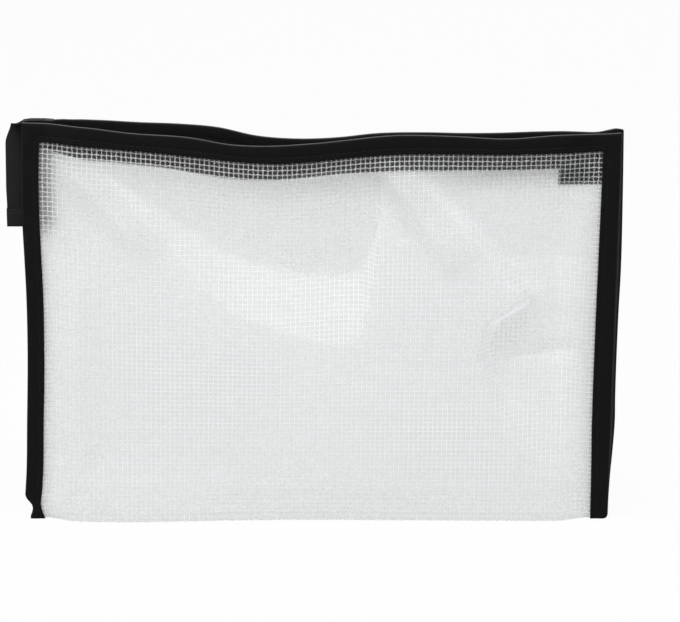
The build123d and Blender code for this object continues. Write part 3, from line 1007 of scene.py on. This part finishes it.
class WALLET_OT_side_bindings(bpy.types.Operator):
    """Fold a woven tape over both panels at the left edge and at the right edge"""

    bl_idname = "wallet.side_bindings"
    bl_label = "Side bindings"

    def execute(self, context):
        cloth = finish_of("edge_tape_cloth")
        crease = EDGE_HALF - OUTER_FACE - 0.7 * MM
        for hand, name in BOUND_EDGES:
            skins = [self.skin(hand, *profile) for profile in side_profile(hand)]
            made = make_object(f"{name}_edge_tape", slab(*skins), cloth, 50)
            points = np.abs(mesh_points(made))
            # Painted highlight along the fold's crease: strong on the right edge, faint on the left
            on_crease = (np.abs(points[:, 1] - crease) < 0.3 * MM) * (points[:, 0] > EDGE - 3 * MM)
            mark_painted_highlight(made, on_crease * (0.35 if hand == RIGHT else 0.05))
            place(made, "wallet", f"{name}_binding")
        return {"FINISHED"}

    def skin(self, hand, u, y, share):
        """Stand one skin of a binding up, from its rounded foot to the mitre at its head."""
        reach = np.abs(u)
        foot_radius = 2.6 * MM if hand == RIGHT else 0.8 * MM
        past = np.clip(reach - (EDGE - foot_radius), 0, foot_radius)
        foot = FLOOR_GAP + foot_radius - np.sqrt(foot_radius**2 - past**2)
        head = TOP - (TOP - LEG_BOTTOM) * (EDGE - reach) / (EDGE - LEG_X)
        z = foot + np.linspace(0, 1, 121)[:, None] * (head - foot)
        swell = smooth_curve(RIGHT_SPINE, z) if hand == RIGHT else 0.3 * MM
        spine = hand * swell * (1 - share**2) * (reach > LEG_X + 5 * MM)
        full_side = np.clip(share, -1, 1)
        inset = EDGE_HALF - np.abs(y) / np.maximum(np.abs(full_side), 1e-6)
        return drape(u[None, :] + spine, z, full_side, inset)


class WALLET_OT_seams(bpy.types.Operator):
    """Sew the bindings with rows of single stitches"""

    bl_idname = "wallet.seams"
    bl_label = "Seams"

    def execute(self, context):
        sizes = context.scene.wallet_sizes
        pitch = sizes.stitch_pitch
        thread = finish_of("sewing_thread")
        level = LEG_BOTTOM + SEAM_IN
        sunk = SEAM_BED - sizes.thread_radius * 0.6
        for side, name in PANELS:
            outside = (LEG_X, OUTER_FACE + sunk, side)
            inside = (MIDDLE_X, INNER_FACE - sunk, -side)
            rows = []
            for end, inset, facing in (outside, inside):
                u = np.arange(-end, end, pitch) + pitch / 2
                u = u[u < end]
                centres = drape(u, level, side, inset)
                along = unit(drape(u + MM, level, side, inset) - drape(u - MM, level, side, inset))
                rows.append(stitches(centres, along, facing))
            made = make_object(f"{name}_rim_stitches", joined(rows), thread, 60)
            place(made, "wallet", f"{name}_top_seam")
        for hand, name in BOUND_EDGES:
            z = np.arange(5 * MM, LEG_BOTTOM, pitch)
            u = np.full(len(z), hand * (LEG_X + SEAM_IN))
            rows = []
            for side in (FRONT, BACK):
                centres = drape(u, z, side, OUTER_FACE + sunk)
                along = unit(drape(u, z + MM, side, OUTER_FACE) - drape(u, z - MM, side, OUTER_FACE))
                rows.append(stitches(centres, along, side))
            made = make_object(f"{name}_edge_stitches", joined(rows), thread, 60)
            place(made, "wallet", f"{name}_side_seam")
        return {"FINISHED"}


# Zip along the mouth

TAPE_LEVELS = np.array((MARGIN_TOP, 227.5 * MM, LEG_BOTTOM + 0.3 * MM, LEG_BOTTOM - 0.4 * MM, FLAP_TOP))
HANG_LEVELS = np.linspace(FLAP_TOP - 1.2 * MM, FLAP_BOTTOM, 6)
SWING_AXIS = LEG_BOTTOM - 0.8 * MM
END_STATIONS = 14
COIL_HALF_HEIGHT = 0.8 * MM
TURN_STATIONS = 9
UPRIGHT = np.array((0.0, 0.0, 1.0))
BACKWARD = np.array((0.0, 1.0, 0.0))
RIGHTWARD = np.array((1.0, 0.0, 0.0))


def tape_inset(z):
    """How far in a half-tape lies: sewn under the binding, a little proud of the panel below it."""
    return FLAP + (MARGIN - FLAP) * between(z, FLAP_TOP - 0.6 * MM, LEG_BOTTOM + 0.4 * MM)


def sag(side, u):
    """How far a half-tape's free edge hangs below its flat height."""
    return smooth_curve(FRONT_SAG, u) if side == FRONT else 0 * u


def swing_weight(side):
    """Share of a half's swing at each point, less where its edge hangs low, so that the coils stay level."""

    def weight(points):
        rise = smooth_curve(RIMS[side], points[:, 0])
        drop = SWING_AXIS - FLAP_BOTTOM + sag(side, points[:, 0])
        hang = between(points[:, 2] - rise, SWING_AXIS + 1.0 * MM, SWING_AXIS - 4.5 * MM)
        return between_undone(hang * np.clip(drop / (drop - rise), 0, 1))

    return weight


def tape_strip(side, u, levels, low=0.0):
    """A half-tape as a thin solid over a run of the rim, its lower edge drawn down by low."""
    fall = (levels[0] - levels) / (levels[0] - levels[-1])
    z = levels[None, :] - fall[None, :] * np.broadcast_to(low, u.shape)[:, None]
    near = drape(u[:, None], z, side, tape_inset(z))
    far = drape(u[:, None], z, side, tape_inset(z) + TAPE)
    return slab(near, far)


class WALLET_OT_mouth_tapes(bpy.types.Operator):
    """Hang the two half-tapes of the zip under the rims, with their still ends"""

    bl_idname = "wallet.mouth_tapes"
    bl_label = "Mouth tapes"

    def execute(self, context):
        cloth = finish_of("zip_tape_cloth")
        free_levels = np.concatenate([TAPE_LEVELS, HANG_LEVELS])
        lead_levels = np.linspace(MARGIN_TOP, LEAD_BOTTOM, 9)
        patch_levels = np.linspace(MARGIN_TOP, PATCH_BOTTOM, 14)
        middle_run = np.linspace(-MIDDLE_X, MIDDLE_X, 136)
        left_run = np.linspace(-LEG_X, -MIDDLE_X, END_STATIONS)
        right_run = np.linspace(MIDDLE_X, LEG_X, END_STATIONS)
        for side, name in PANELS:
            free = tape_strip(side, middle_run, free_levels, sag(side, middle_run))
            made = make_object(f"{name}_half_tape", free, cloth)
            nodes = (f"{name}_zip_tape", f"{name}_tape_margin")
            bend(made, "wallet", f"{name}_zip_half", swing_weight(side), *nodes)
            foot = LEAD_BOTTOM - FLAP_BOTTOM + sag(side, -MIDDLE_X)
            lead = tape_strip(side, left_run, lead_levels, np.linspace(-2.6 * MM, foot, END_STATIONS))
            place(make_object(f"{name}_lead_tape", lead, cloth), "wallet", f"{name}_tape_lead")
        end = tape_strip(BACK, right_run, lead_levels)
        place(make_object("back_end_tape", end, cloth), "wallet", "back_tape_end")
        patch = tape_strip(FRONT, right_run, patch_levels)
        place(make_object("front_end_patch", patch, cloth), "wallet", "zip_end_tab")
        return {"FINISHED"}


def coil(centres, across, out, half_width, turns):
    """Flattened turns of a strand about a line of centres."""
    radius = bpy.context.scene.wallet_sizes.coil_radius
    angle = np.linspace(0, 2 * np.pi * turns, len(centres))[:, None]
    spoke = np.cos(angle) * across * (half_width - radius)
    spoke = spoke + np.sin(angle) * out * (COIL_HALF_HEIGHT - radius)
    return tube(centres + spoke, unit(spoke), radius, 5)


def crowned(arch):
    """Share of a pressed stop's height across its width, from -1 to 1."""
    return np.sqrt(np.clip(1 - arch**4, 0, 1))


class WALLET_OT_mouth_coils(bpy.types.Operator):
    """Wind the coils along the free edges of the half-tapes, with their top stops"""

    bl_idname = "wallet.mouth_coils"
    bl_label = "Mouth coils and stops"

    def execute(self, context):
        pitch = context.scene.wallet_sizes.coil_pitch
        nylon = finish_of("coil_nylon")
        paint = finish_of("slider_paint")
        level = (FLAP_BOTTOM + COIL_TOP) / 2
        half_width = (COIL_TOP - FLAP_BOTTOM) / 2
        start = -MIDDLE_X + 1.2 * MM
        turns = int((COIL_END - start) / pitch)
        for side, name in PANELS:
            half = f"{name}_zip_half"
            u = np.linspace(start, COIL_END, turns * TURN_STATIONS + 1)
            centres = drape(u, level - sag(side, u), side, FLAP + TAPE + COIL_HALF_HEIGHT)
            wound = coil(centres, UPRIGHT, -side * BACKWARD, half_width, turns)
            made = make_object(f"{name}_coil_turns", wound, nylon, 80)
            bend(made, "wallet", half, swing_weight(side), f"{name}_zip_coil")
            clip = self.stop(side, level, half_width)
            made = make_object(f"{name}_stop_clip", clip, paint, 40)
            bend(made, "wallet", half, swing_weight(side), f"{name}_top_stop")
        return {"FINISHED"}

    def stop(self, side, level, half_width):
        """Press a stop round the end of a coil."""
        length = np.linspace(-1, 1, 7)[:, None]
        u = np.linspace(STOP_START, STOP_END, 7)[:, None]
        arch = np.linspace(-1, 1, 11)[None, :]
        z = level - sag(side, u) + arch * half_width
        crown = 2.0 * MM * crowned(arch) * (1 - 0.25 * length**4)
        hollow = np.maximum(crown - 0.6 * MM, 0) * 0.8 - 0.05 * MM
        return slab(*(drape(u, z, side, FLAP + TAPE + height) for height in (crown, hollow)))


# Tail of the zip

# How far the tail is drawn up at its fold: across, rise, in millimetres
TAIL_RISE = ((-173, 2.6), (-171.5, 3.3), (-169, 4.8), (-165, 5.4), (-157, 5.35), (-152, 5.0))
TAIL_MIDDLE = (TAIL_FRONT + TAIL_BACK) / 2
TAIL_FOLD = 2.2 * MM
OVER_STATIONS, DOWN_STATIONS = 5, 47
CORNER_IN, CORNER_FALL = 3.3 * MM, 11.0 * MM
MESHED, PARTED = 0.1 * MM, 1.2 * MM
WEDGE_LOW = SLIDER_HIGH.z - 4.1 * MM
CHAIN_TOP = 231.5 * MM
CHAIN_HALF_WIDTH = 1.1 * MM


def tail_rise(x, z):
    """How far the tail is drawn up at its fold, less at its outer edge."""
    across, rises = zip(*TAIL_RISE)
    rise = np.interp(x / MM, across, rises) * MM
    return rise * bpy.context.scene.wallet_sizes.wave * between(z, 218 * MM, 234 * MM)


def tail_lean(z):
    """Sideways shift of the tail with the wallet's lean."""
    return bpy.context.scene.wallet_sizes.lean * z / TOP - 0.6 * MM


def chain_lean():
    """Sideways shift of the chain, the same all along, so that the slider runs true on it."""
    return tail_lean((SLIDER_LOW.z + SLIDER_HIGH.z) / 2)


def chain_half(z):
    """Half the gap between the two coils: meshed below the slider's wedge, parted above it."""
    return MESHED + (PARTED - MESHED) * between(z, WEDGE_LOW - 3.3 * MM, WEDGE_LOW - 0.3 * MM)


def tape_half(z):
    """Half the gap between the two tapes, which lie side by side again at the fold."""
    return chain_half(z) + (0.02 * MM - PARTED) * between(z, 228.5 * MM, 234.6 * MM)


def tail_path():
    """The tail's line from the mouth over the back rim and down, as depth and height of its middle."""
    top = ROOT_TOP - TAPE / 2
    turn = np.linspace(0, np.pi / 2, 8)
    turn_y = TAIL_MIDDLE - TAIL_FOLD + TAIL_FOLD * np.sin(turn)
    turn_z = top - TAIL_FOLD + TAIL_FOLD * np.cos(turn)
    over = np.linspace(0.2 * MM, TAIL_MIDDLE - TAIL_FOLD, OVER_STATIONS + 1)[:-1]
    down = np.linspace(top - TAIL_FOLD, TAIL_END, DOWN_STATIONS + 1)[1:]
    y = np.concatenate([over, turn_y, np.full(DOWN_STATIONS, TAIL_MIDDLE)])
    z = np.concatenate([np.full(OVER_STATIONS, top), turn_z, down])
    return y, z


def tail_skin(hand, offset):
    """A half-tape of the tail as a grid of points, shifted off its middle."""
    y, z = tail_path()
    along = unit(np.stack([np.gradient(y), np.gradient(z)], -1))
    y = y - along[:, 1] * offset
    z = z + along[:, 0] * offset
    inner = TAIL_X + hand * tape_half(z) + chain_lean()
    outer = (TAIL_LEFT if hand == LEFT else TAIL_RIGHT) + tail_lean(z)
    if hand == LEFT:
        outer = outer + CORNER_IN * between(z, ROOT_TOP - CORNER_FALL, ROOT_TOP - 0.4 * MM)
        outer = outer + 0.4 * MM * between(z, 200 * MM, 188 * MM)
        outer = outer + 6.5 * MM * (1 - between(y, 0.5 * MM, 6.5 * MM))
    x = inner[:, None] + (outer - inner)[:, None] * np.linspace(0, 1, 13)[None, :]
    z = np.broadcast_to(z[:, None], x.shape)
    y = np.broadcast_to(y[:, None], x.shape)
    across = x - tail_lean(z)
    diagonal = 234.2 * MM - (across + 176 * MM) * 1.4
    forward = 1.7 * MM * between(z - diagonal, -0.4 * MM, 1.4 * MM) * between(y, 4 * MM, 7 * MM)
    forward = forward * between(across, -172 * MM, -174.5 * MM)
    curl = 0.15 * MM * np.sin((across - TAIL_X) / (9 * MM)) * between(z, 200 * MM, 180 * MM)
    return np.stack([x, y - forward - curl, z + tail_rise(across, z)], -1)


def tail_weight(points):
    """Share of the tail's lift at each point, nothing at the mouth and all below the fold."""
    down = between(points[:, 2], 240.5 * MM, 232.5 * MM) * between(points[:, 1], 3.5 * MM, 6.5 * MM)
    return between_undone(down)


class WALLET_OT_tail_tapes(bpy.types.Operator):
    """Fold the closed end of the zip over the back rim, with the cloth that wraps its cut end"""

    bl_idname = "wallet.tail_tapes"
    bl_label = "Tail tapes"

    def execute(self, context):
        cloth = finish_of("zip_tape_cloth")
        for hand, name in TAIL_HALVES:
            strip = slab(tail_skin(hand, TAPE / 2), tail_skin(hand, -TAPE / 2))
            made = make_object(f"{name}_tail_tape", strip, cloth)
            bend(made, "wallet", "zip_tail", tail_weight, f"tail_{name}_tape")
        rise = float(tail_rise(TAIL_RIGHT, TOP))
        x = np.linspace(-LEG_X + 0.2 * MM, TAIL_RIGHT, 7)[:, None] + tail_lean(TOP)
        z = np.linspace(ROOT_LOW, ROOT_TOP - TAPE / 2, 12)[None, :] + rise
        y = TAPE / 2 + 0.6 * MM * between(z, TOP + rise - 3 * MM, TOP + rise)
        grid = grid_points(x, y, z)
        tongue = slab(grid - (0, TAPE / 2, 0), grid + (0, TAPE / 2, 0))
        place(make_object("tail_tongue", tongue, cloth), "wallet", "tail_root")
        wrap = make_object("tail_end_wrap", self.end_wrap(), cloth)
        place(wrap, "zip_tail", "tail_end_tab")
        rows = self.end_rows(context.scene.wallet_sizes.stitch_pitch)
        sewn = make_object("tail_end_stitches", rows, finish_of("sewing_thread"), 60)
        place(sewn, "zip_tail", "tail_end_seam")
        return {"FINISHED"}

    def end_wrap(self):
        """Fold the end cloth round the cut tapes."""
        x = np.linspace(TAIL_LEFT + 0.3 * MM, TAIL_RIGHT + 0.1 * MM, 15)[:, None] + tail_lean(TAIL_END)
        turn = np.linspace(0, np.pi, 11)[1:-1]
        leg = np.linspace(TAB_TOP, TAIL_END, 9)
        crown = 0.18 * MM * np.sin(np.linspace(0, np.pi, 9))
        skins = []
        for half, bulge in ((1.05 * MM, crown), (0.35 * MM, 0 * crown)):
            y = np.concatenate([-half - bulge, -half * np.cos(turn), half + bulge])
            z = np.concatenate([leg, TAIL_END - (half - TAPE / 2) * np.sin(turn), leg[::-1]])
            skins.append(grid_points(x, TAIL_MIDDLE + y[None, :], z[None, :]))
        return slab(*skins)

    def end_rows(self, pitch):
        """Sew through the end cloth, with a row of stitches on either face."""
        x = np.arange(TAIL_LEFT + 2.5 * MM, TAIL_RIGHT - 2 * MM, pitch) + tail_lean(TAIL_END)
        along = np.tile(RIGHTWARD, (len(x), 1))
        rows = []
        for facing in (FRONT, BACK):
            centres = grid_points(x, TAIL_MIDDLE + facing * 1.2 * MM, TAB_TOP - SEAM_IN)
            rows.append(stitches(centres, along, facing))
        return joined(rows)


class WALLET_OT_tail_chain(bpy.types.Operator):
    """Wind the two coils of the tail, meshed below the slider, with the stop at their lower end"""

    bl_idname = "wallet.tail_chain"
    bl_label = "Tail chain"

    def execute(self, context):
        turns = int((CHAIN_TOP - CHAIN_LOW) / context.scene.wallet_sizes.coil_pitch)
        z = np.linspace(CHAIN_LOW, CHAIN_TOP, turns * TURN_STATIONS + 1)
        for hand, name in TAIL_HALVES:
            x = TAIL_X + hand * (chain_half(z) + CHAIN_HALF_WIDTH) + chain_lean()
            centres = grid_points(x, (TAIL_BACK + CHAIN_BACK) / 2, z)
            wound = coil(centres, hand * RIGHTWARD, BACKWARD, CHAIN_HALF_WIDTH, turns)
            made = make_object(f"{name}_chain_turns", wound, finish_of("coil_nylon"), 80)
            place(made, "zip_tail", f"tail_{name}_coil")
        made = make_object("tail_stop_clip", self.stop(), finish_of("slider_paint"), 40)
        place(made, "zip_tail", "tail_bottom_stop")
        return {"FINISHED"}

    def stop(self):
        """Press the stop round both coils."""
        low, high = CHAIN_STOP_LOW, CHAIN_STOP_HIGH
        arch = np.linspace(-1, 1, 15)[None, :]
        rows = np.linspace(0, 1, 7)[:, None]
        x = (low.x + high.x) / 2 + arch * (high.x - low.x) / 2 + chain_lean()
        z = low.z + rows * (high.z - low.z)
        crown = (high.y - low.y) * crowned(arch) * (1 - 0.2 * (2 * rows - 1) ** 4)
        hollow = np.maximum(crown - 0.7 * MM, -0.05 * MM)
        return slab(*(grid_points(x, low.y + height, z) for height in (crown, hollow)))


# Slider

# Outlines, as seen from behind: across, up and corner radius, in millimetres
SLIDER_PLATE = (
    (-5.1, 6, 1.8), (-1.2, 6, 0.6), (0, 5.2, 0.8), (1.2, 6, 0.6), (5.1, 6, 1.8), (5.1, 0.5, 3),
    (4.5, -6, 1.6), (-4.5, -6, 1.6), (-5.1, 0.5, 3),
)
SLIDER_FLANGE = (
    (4.1, 4.6, 0.3), (5.05, 4.6, 0.4), (5.05, 0.6, 1.5), (4.5, -4.9, 0.4), (3.6, -4.9, 0.3),
    (4.1, 0.2, 1.5),
)
SLIDER_WEDGE = ((0, 5.4, 0.5), (0.9, 3.8, 0.5), (0.55, 1.9, 0.4), (-0.55, 1.9, 0.4), (-0.9, 3.8, 0.5))
# Thicknesses and the puller's measures, in millimetres
PLATE_THICK, PLATE_EDGE = 1.0, 0.28
BRIDGE_WIDE, BRIDGE_THICK = 2.0, 1.1
PULL_HALF, PULL_WAIST = 3.25, 2.3


class WALLET_OT_slider(bpy.types.Operator):
    """Cast the slider with its bridge, and hang the puller on it"""

    bl_idname = "wallet.slider"
    bl_label = "Slider and puller"

    def execute(self, context):
        x = TAIL_X + chain_lean()
        z = (SLIDER_LOW.z + SLIDER_HIGH.z) / 2
        pieces = (
            ("slider_casting", self.casting(x, z), "slider", "slider_body"),
            ("slider_arch", self.bridge(x, z), "slider", "slider_bridge"),
            ("pull_tab", self.puller(x), "puller", "puller_tab"),
        )
        for name, mesh_data, body, node in pieces:
            made = make_object(name, mesh_data, finish_of("slider_paint"), 40)
            place(made, body, node)
        return {"FINISHED"}

    def casting(self, x, z):
        """Two plates, the flanges between them and the wedge that parts the coils."""
        plate = rounded(SLIDER_PLATE)
        flange = rounded(SLIDER_FLANGE)
        mirrored = [Vector((-p.x, p.y)) for p in reversed(flange)]
        front_y = SLIDER_LOW.y + PLATE_THICK / 2 * MM
        back_y = SLIDER_HIGH.y - PLATE_THICK / 2 * MM
        wall_low = TAIL_BACK + 0.3 * MM
        wall = (back_y - wall_low) / MM
        wall_y = wall_low + wall * MM / 2
        post = (back_y - front_y) / MM
        parts = [
            stood_up(cut_plate([plate], PLATE_THICK, PLATE_EDGE), x, front_y, z),
            stood_up(cut_plate([plate], PLATE_THICK, PLATE_EDGE), x, back_y, z),
            stood_up(cut_plate([flange], wall, 0.15), x, wall_y, z),
            stood_up(cut_plate([mirrored], wall, 0.15), x, wall_y, z),
            stood_up(cut_plate([rounded(SLIDER_WEDGE)], post, 0.1), x, (front_y + back_y) / 2, z),
        ]
        return joined(parts)

    def bridge(self, x, z):
        """An arch over the back plate."""
        rise = (BRIDGE_HIGH.y - BRIDGE_LOW.y) / MM
        half = (BRIDGE_HIGH.z - BRIDGE_LOW.z) / 2 / MM
        under = rise - BRIDGE_THICK
        inner = half - BRIDGE_THICK
        foot = -0.2
        outside = [(-half, foot, 0), (-half, rise, 1.6), (half, rise, 1.6), (half, foot, 0)]
        inside = [(inner, foot, 0), (inner, under, 0.7), (-inner, under, 0.7), (-inner, foot, 0)]
        points, faces = cut_plate([rounded(outside + inside)], BRIDGE_WIDE, 0.25)
        return np.array((x, BRIDGE_LOW.y, z)) + points[:, (2, 1, 0)] * MM, faces

    def puller(self, x):
        """A pull tab on its bar, with a raised rim round its grip."""
        y = (PULLER_LOW.y + PULLER_HIGH.y) / 2
        bar = (PULLER_HIGH.y - PULLER_LOW.y) / 2 / MM
        z = PULLER_HIGH.z - bar * MM
        end = (PULLER_LOW.z - z) / MM
        tab = [(PULL_HALF, bar, 0.6), (PULL_HALF, -6.6, 1.5), (PULL_WAIST, -9.5, 2), (PULL_HALF, -15, 3)]
        tab = rounded(symmetric([*tab, (PULL_HALF, end, 3)]))
        window = rounded(symmetric([(1.6, -bar, 0.4), (1.6, -5.7, 0.6)]))
        hole = circle(0, end + PULL_HALF, 1.8)
        rim = rounded(symmetric([(1.9, -13.6, 1.2), (2.45, end + 0.8, 2.3)]))
        inner = rounded(symmetric([(1.4, -14.1, 0.8), (1.95, end + 1.3, 1.9)]))
        parts = [
            stood_up(cut_plate([tab, window, hole], 2 * bar - 0.3, 0.3), x, y, z),
            stood_up(cut_plate([rim, inner], 2 * bar, 0.15), x, y, z),
        ]
        return joined(parts)


# Stage

# Soft lamps: name, place, size and power
LAMPS = (
    ("top_lamp", (-0.2, -0.55, 1.85), (1.4, 0.8), 58),
    ("front_lamp", (-0.2, -2.3, 0.75), (1.4, 0.6), 5.5),
    ("side_lamp", (-1.4, -0.9, 1.1), (0.9, 0.9), 6),
    ("back_lamp", (0.4, 2.0, 1.2), (1.2, 1.2), 13),
)
LAMP_AIM = Vector((0, 0, 0.12))
FLOOR_REACH = 6.0
FLOOR_GREY = (0.44, 0.44, 0.44, 1)
FLOOR_WHITE = 0.95
SOFT_LIGHT = 0.2
CAMERA_AIM = Vector((13.5, 0, 127.3)) * MM
CAMERA_TILT = math.radians(18)
CAMERA_DISTANCE = 2.08
CAMERA_LENS = 190.7


def seen_rays(tree):
    """1 for what the camera sees directly, mirrored or through the film."""
    path = add(tree, "ShaderNodeLightPath").outputs
    mirrored = math_node(tree, "MAXIMUM", path["Is Camera Ray"], path["Is Glossy Ray"])
    return math_node(tree, "MAXIMUM", mirrored, path["Is Transmission Ray"])


class WALLET_OT_stage(bpy.types.Operator):
    """Set a pale floor, soft lamps and the camera"""

    bl_idname = "wallet.stage"
    bl_label = "Stage"

    def execute(self, context):
        self.floor()
        self.world(context)
        for lamp in LAMPS:
            self.lamp(*lamp)
        self.camera(context)
        context.scene.view_settings.view_transform = "Standard"
        return {"FINISHED"}

    def floor(self):
        """Lay white paper that keeps a soft shadow."""
        mesh = bpy.data.meshes.new("floor")
        corners = [(x * FLOOR_REACH, y * FLOOR_REACH, 0) for x, y in ((-1, -1), (1, -1), (1, 1), (-1, 1))]
        mesh.from_pydata(corners, [], [(0, 1, 2, 3)])
        material = bpy.data.materials.new("floor_paper")
        material.use_nodes = True
        tree = material.node_tree
        tree.nodes.clear()
        lit = add(tree, "ShaderNodeBsdfDiffuse", {"Color": FLOOR_GREY}).outputs[0]
        white = add(tree, "ShaderNodeEmission", {"Color": WHITE, "Strength": 1.0}).outputs[0]
        share = math_node(tree, "MULTIPLY", seen_rays(tree), FLOOR_WHITE)
        add(tree, "ShaderNodeOutputMaterial", {"Surface": mix_shader(tree, share, lit, white)})
        mesh.materials.append(material)
        made = bpy.data.objects.new("floor", mesh)
        bpy.context.collection.objects.link(made)

    def world(self, context):
        """Light from all round, softly, before a white background."""
        world = bpy.data.worlds.new("studio")
        world.use_nodes = True
        tree = world.node_tree
        tree.nodes.clear()
        soft = add(tree, "ShaderNodeBackground", {"Color": WHITE, "Strength": SOFT_LIGHT}).outputs[0]
        white = add(tree, "ShaderNodeBackground", {"Color": WHITE, "Strength": 1.0}).outputs[0]
        add(tree, "ShaderNodeOutputWorld", {"Surface": mix_shader(tree, seen_rays(tree), soft, white)})
        context.scene.world = world

    def lamp(self, name, stand, size, power):
        """Turn a soft rectangular lamp to the wallet."""
        lamp = bpy.data.lights.new(name, "AREA")
        lamp.shape = "RECTANGLE"
        lamp.size, lamp.size_y = size
        lamp.energy = power
        made = bpy.data.objects.new(name, lamp)
        made.location = stand
        made.rotation_euler = (LAMP_AIM - Vector(stand)).to_track_quat("-Z", "Y").to_euler()
        bpy.context.collection.objects.link(made)

    def camera(self, context):
        """Look along the wallet's depth from a little above."""
        lens = bpy.data.cameras.new("camera")
        lens.lens = CAMERA_LENS
        lens.sensor_width = 36
        made = bpy.data.objects.new("camera", lens)
        back = Vector((0, -math.cos(CAMERA_TILT), math.sin(CAMERA_TILT)))
        made.location = CAMERA_AIM + CAMERA_DISTANCE * back
        made.rotation_euler = (math.pi / 2 - CAMERA_TILT, 0, 0)
        bpy.context.collection.objects.link(made)
        context.scene.camera = made


# Settings and sidebar


def length_setting(name, description, default):
    return bpy.props.FloatProperty(
        name=name, description=description, default=default, unit="LENGTH", precision=5
    )


def colour_setting(name, description, default):
    return bpy.props.FloatVectorProperty(
        name=name, description=description, default=default, subtype="COLOR", size=3, min=0, max=1
    )


def share_setting(name, description, default, lowest=0.01, highest=1.0):
    return bpy.props.FloatProperty(
        name=name, description=description, default=default, min=lowest, max=highest, subtype="FACTOR"
    )


class WalletSizes(bpy.types.PropertyGroup):
    scrim_pitch: length_setting("Scrim pitch", "Distance between the scrim's yarns", 2.77 * MM)
    scrim_width: length_setting("Yarn width", "Width of a scrim yarn", 0.7 * MM)
    scrim_height: length_setting("Yarn height", "Thickness of a scrim yarn", 0.16 * MM)
    scrim_swell: length_setting("Yarn relief", "How far the film stands up over the yarns", 0.08 * MM)
    stitch_pitch: length_setting("Stitch pitch", "Distance between stitches", 3.0 * MM)
    thread_radius: length_setting("Thread radius", "Half the sewing thread's thickness", 0.2 * MM)
    coil_pitch: length_setting("Coil pitch", "Distance between turns of the zip's coils", 1.3 * MM)
    coil_radius: length_setting("Coil strand", "Half the coil strand's thickness", 0.3 * MM)
    lean: length_setting("Lean", "Sideways lean of the rim over the foot", 3.2 * MM)
    wave: share_setting("Wave", "Share of the rims' waves", 1.0, 0.0)
    dents: share_setting("Dents", "Share of the film's folds", 1.0, 0.0, 2.0)


class WalletFinish(bpy.types.PropertyGroup):
    film: colour_setting("Film", "Light that one layer of the film lets through", (0.867, 0.873, 0.873))
    milk: share_setting("Milkiness", "Share of the light that the film scatters on its way through", 0.62)
    haze: share_setting("Haze", "Share of the scattered light that comes back", 0.015)
    gloss: share_setting("Gloss", "Mirror share of the film seen straight on", 0.018)
    film_roughness: share_setting("Film roughness", "Roughness of the film's gloss", 0.33)
    scrim: colour_setting("Scrim", "Yarns in the film", (0.9, 0.905, 0.91))
    yarn_glow: share_setting("Yarn glow", "How much of the light behind them the yarns let through", 0.63)
    binding: colour_setting("Binding", "Woven tape on the edges", (0.0043, 0.0043, 0.0045))
    zip_tape: colour_setting("Zip tape", "Woven tape of the zip", (0.0125, 0.0125, 0.013))
    thread: colour_setting("Thread", "Sewing thread", (0.012, 0.012, 0.0125))
    coil: colour_setting("Coil", "Nylon strand of the zip", (0.01, 0.01, 0.0105))
    metal: colour_setting("Metal", "Paint on slider, stops and puller", (0.014, 0.014, 0.015))


OPERATORS = (
    WALLET_OT_clear_sheet,
    WALLET_OT_scrim,
    WALLET_OT_top_bindings,
    WALLET_OT_side_bindings,
    WALLET_OT_seams,
    WALLET_OT_mouth_tapes,
    WALLET_OT_mouth_coils,
    WALLET_OT_tail_tapes,
    WALLET_OT_tail_chain,
    WALLET_OT_slider,
    WALLET_OT_stage,
)


class WALLET_PT_sidebar(bpy.types.Panel):
    bl_idname = "WALLET_PT_sidebar"
    bl_label = "Document wallet"
    bl_space_type = "VIEW_3D"
    bl_region_type = "UI"
    bl_category = "Wallet"

    def draw(self, context):
        for settings in (context.scene.wallet_sizes, context.scene.wallet_finish):
            box = self.layout.box()
            for key in settings.__annotations__:
                box.prop(settings, key)
        for operator in OPERATORS:
            self.layout.operator(operator.bl_idname)


CLASSES = (WalletSizes, WalletFinish, *OPERATORS, WALLET_PT_sidebar)


def register():
    for cls in CLASSES:
        bpy.utils.register_class(cls)
    bpy.types.Scene.wallet_sizes = bpy.props.PointerProperty(type=WalletSizes)
    bpy.types.Scene.wallet_finish = bpy.props.PointerProperty(type=WalletFinish)


def unregister():
    del bpy.types.Scene.wallet_finish
    del bpy.types.Scene.wallet_sizes
    for cls in reversed(CLASSES):
        bpy.utils.unregister_class(cls)


def main():
    register()
    bpy.ops.wallet.clear_sheet()
    bpy.ops.wallet.scrim()
    bpy.ops.wallet.top_bindings()
    bpy.ops.wallet.side_bindings()
    bpy.ops.wallet.seams()
    bpy.ops.wallet.mouth_tapes()
    bpy.ops.wallet.mouth_coils()
    bpy.ops.wallet.tail_tapes()
    bpy.ops.wallet.tail_chain()
    bpy.ops.wallet.slider()
    bpy.ops.wallet.stage()


if __name__ == "__main__":
    main()
